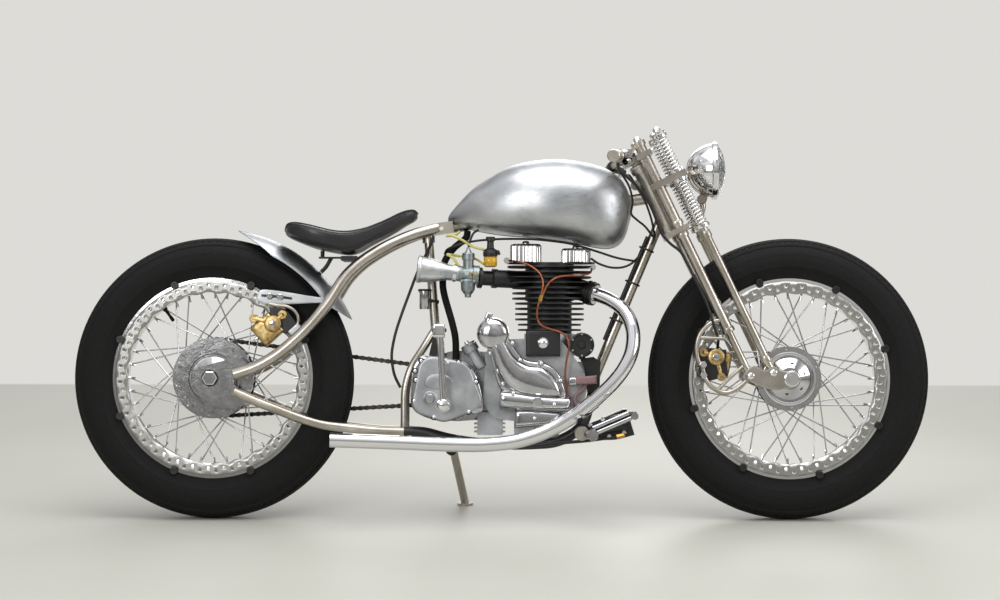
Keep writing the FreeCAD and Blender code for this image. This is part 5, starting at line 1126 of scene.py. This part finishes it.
# Foot controls.
# Black brackets carry polished pegs and a pair of polished pedal rods to each side, with the brake's
# master cylinder and its rod behind the right one.
dressed(black, "foot_controls", "horn")
for side, name in sides:
    peg = [(0, 0), (0, 12.4), (-2, 14), (-8, 14), (-9, 13.4), (-88, 13.4), (-90, 14), (-96, 14),
           (-98, 12.5), (-98, 0)]
    piece("foot_peg_" + name, turned(peg, (929, side * 250.5, 211), (0, side, 0), 32), polished)
    rod_places = ((934, 220), (976, 238), (1020, 257))
    rods = [pipe([(x + a, side * 166, z + b) for x, z in rod_places], 12, 5.5)
            for a, b in ((-3, 6), (3, -6))]
    piece("pedal_rods_" + name, np.stack(rods), polished)
    tip = [(0, 0), (0, 8.8), (-6, 8.8), (-7, 8.2), (-50, 8.2), (-52, 8.8), (-56, 8.8), (-57, 8), (-57, 0)]
    place_x, place_z = (1030, 256) if side < 0 else (1018, 258)
    piece("pedal_toe_" + name, turned(tip, (place_x, side * 215, place_z), (0, side, 0), 24), polished)
brake_rod = [(760, -96, 178), (863, -97, 189), (918, -98, 194), (984, -99, 203), (1012, -100, 209)]
piece("brake_rod", pipe(brake_rod, 30, 4, 10), black)
fork_end = [(0, 0), (0, 6.4), (18, 6.4), (20, 5), (20, 0)]
piece("brake_rod_end", turned(fork_end, (990, -99, 204), (0.98, 0, 0.2), 6), brass, sharp=20)
side_plate = casting([(898, 206), (930, 198), (984, 196), (1034, 208)],
                     [(900, 236), (932, 236), (984, 256), (1018, 262)], -92, -98, 12, 12, 30, 13)
piece("brake_bracket", side_plate, black)
bolts("brake_bracket_bolts", [(956, -98, 246), (972, -98, 205), (1008, -98, 214), (926, -98, 232)],
      rightward, 6.0, chrome)
clamp = [(0, 0), (0, 17), (2, 18), (26, 18), (28, 17), (28, 0)]
piece("foot_control_clamp", turned(clamp, (905, -88, 212), rightward, 28), nickel)

# Horn, regulator and the small can.
# A round black horn faces right in front of the engine above a brown moulded regulator, and a small
# polished can is clipped to the seat tube.
bakelite, *parts = begun("brown_moulding", "black_paint", "#77585a", 0.0, 0.4)
# Filler flecks about 2 mm wide show in the moulding.
patterned(*parts, 450.0, 3.0, tones=("#5f4446", "#9a7c7d"))
trumpet = [(0, 0), (0, 29), (4, 30.5), (24, 30.5), (27, 29.5), (28, 26), (25, 24), (24, 10), (27, 8.5),
           (27.6, 0)]
piece("horn_body", turned(trumpet, (906, -47, 427), rightward, 48), black, "horn")
bolts("horn_screws", circle_of((906, -74, 427), 0, 26, 6, 30), rightward, 2.8, chrome)
strap = casting([(899, 392), (915, 392)], [(899, 442), (915, 442)], -32, -46, 10, 10, 20, 9)
piece("horn_bracket", strap, black)
box = casting([(886, 330), (914, 330), (942, 332)], [(886, 350), (914, 351), (942, 353)], -63, -92, 8, 8,
              24, 13)
piece("regulator_body", box, bakelite, sharp=45)
tab = casting([(874, 328), (892, 329)], [(874, 347), (892, 348)], -76, -94, 8, 8, 12, 9)
piece("regulator_tab", tab, polished)
tail = [(916, -78, 331), (908, -79, 318), (894, -80, 307), (888, -80, 294), (893, -80, 281), (906, -78, 276)]
piece("regulator_hose", pipe(tail, 30, 4.5), bakelite, slot="copper_pipe")
can = [(0, 0), (0, 12), (2, 13), (40, 13), (41, 14.5), (46, 14.5), (47, 13), (47, 0)]
piece("seat_tube_can", turned(can, (519, -14, 515), upward, 32), polished)
lid = [(0, 0), (0, 16), (5, 16), (6, 14), (6, 0)]
piece("seat_tube_can_lid", turned(lid, (519, -14, 559), upward, 32), black)
arm = pipe([(528, -12, 537), (540, -8, 535), (553, -3, 533)], 8, 5.0, 10)
piece("seat_tube_can_clip", arm, black)

# Cables.
# Sheathed cables and the wiring loom lie along the tubes, tied to them. The two cables from the levers cross
# from the turning bar to the frame.
sheath, *parts = begun("cable_sheath", "black_sheath", "#0a0a0b", 0.0, 0.42)
# Handling has left dull patches about 10 mm long on the vinyl.
patterned(*parts, 95.0, 3.0, rough=(0.3, 0.6))
dressed(sheath, "wiring_loom", "breather_hose", "throttle_cable", "front_brake_hose")

lever_cables = (("right_lever_cable", 3, 9,
                 [(989.2, -200.6, 872), (989, -172, 866), (992, -135, 852), (1006, -95, 838),
                  (1022, -74, 812), (1030, -60, 778), (1027, -48, 750), (1041, -40, 735), (1060, -35, 720),
                  (1074, -24, 704), (1084, -15, 690), (1079, -13.6, 676)]),
                ("left_lever_cable", 3, 8,
                 [(989.2, 200.6, 872), (994, 165, 866), (1008, 105, 857), (1020, 42, 850), (1026, -15, 843),
                  (1040, -52, 815), (1060, -58, 780), (1075, -52, 740), (1082, -36, 712), (1086, -18, 694),
                  (1079, -13.6, 676)]))
for name, start, end, points in lever_cables:
    cable = skin(name, leaned(carried(smooth_line(points, 90), 2.8, side=(1, 0, 0.2), steps=10)))
    cable.data.materials.append(sheath)
    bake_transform(cable)
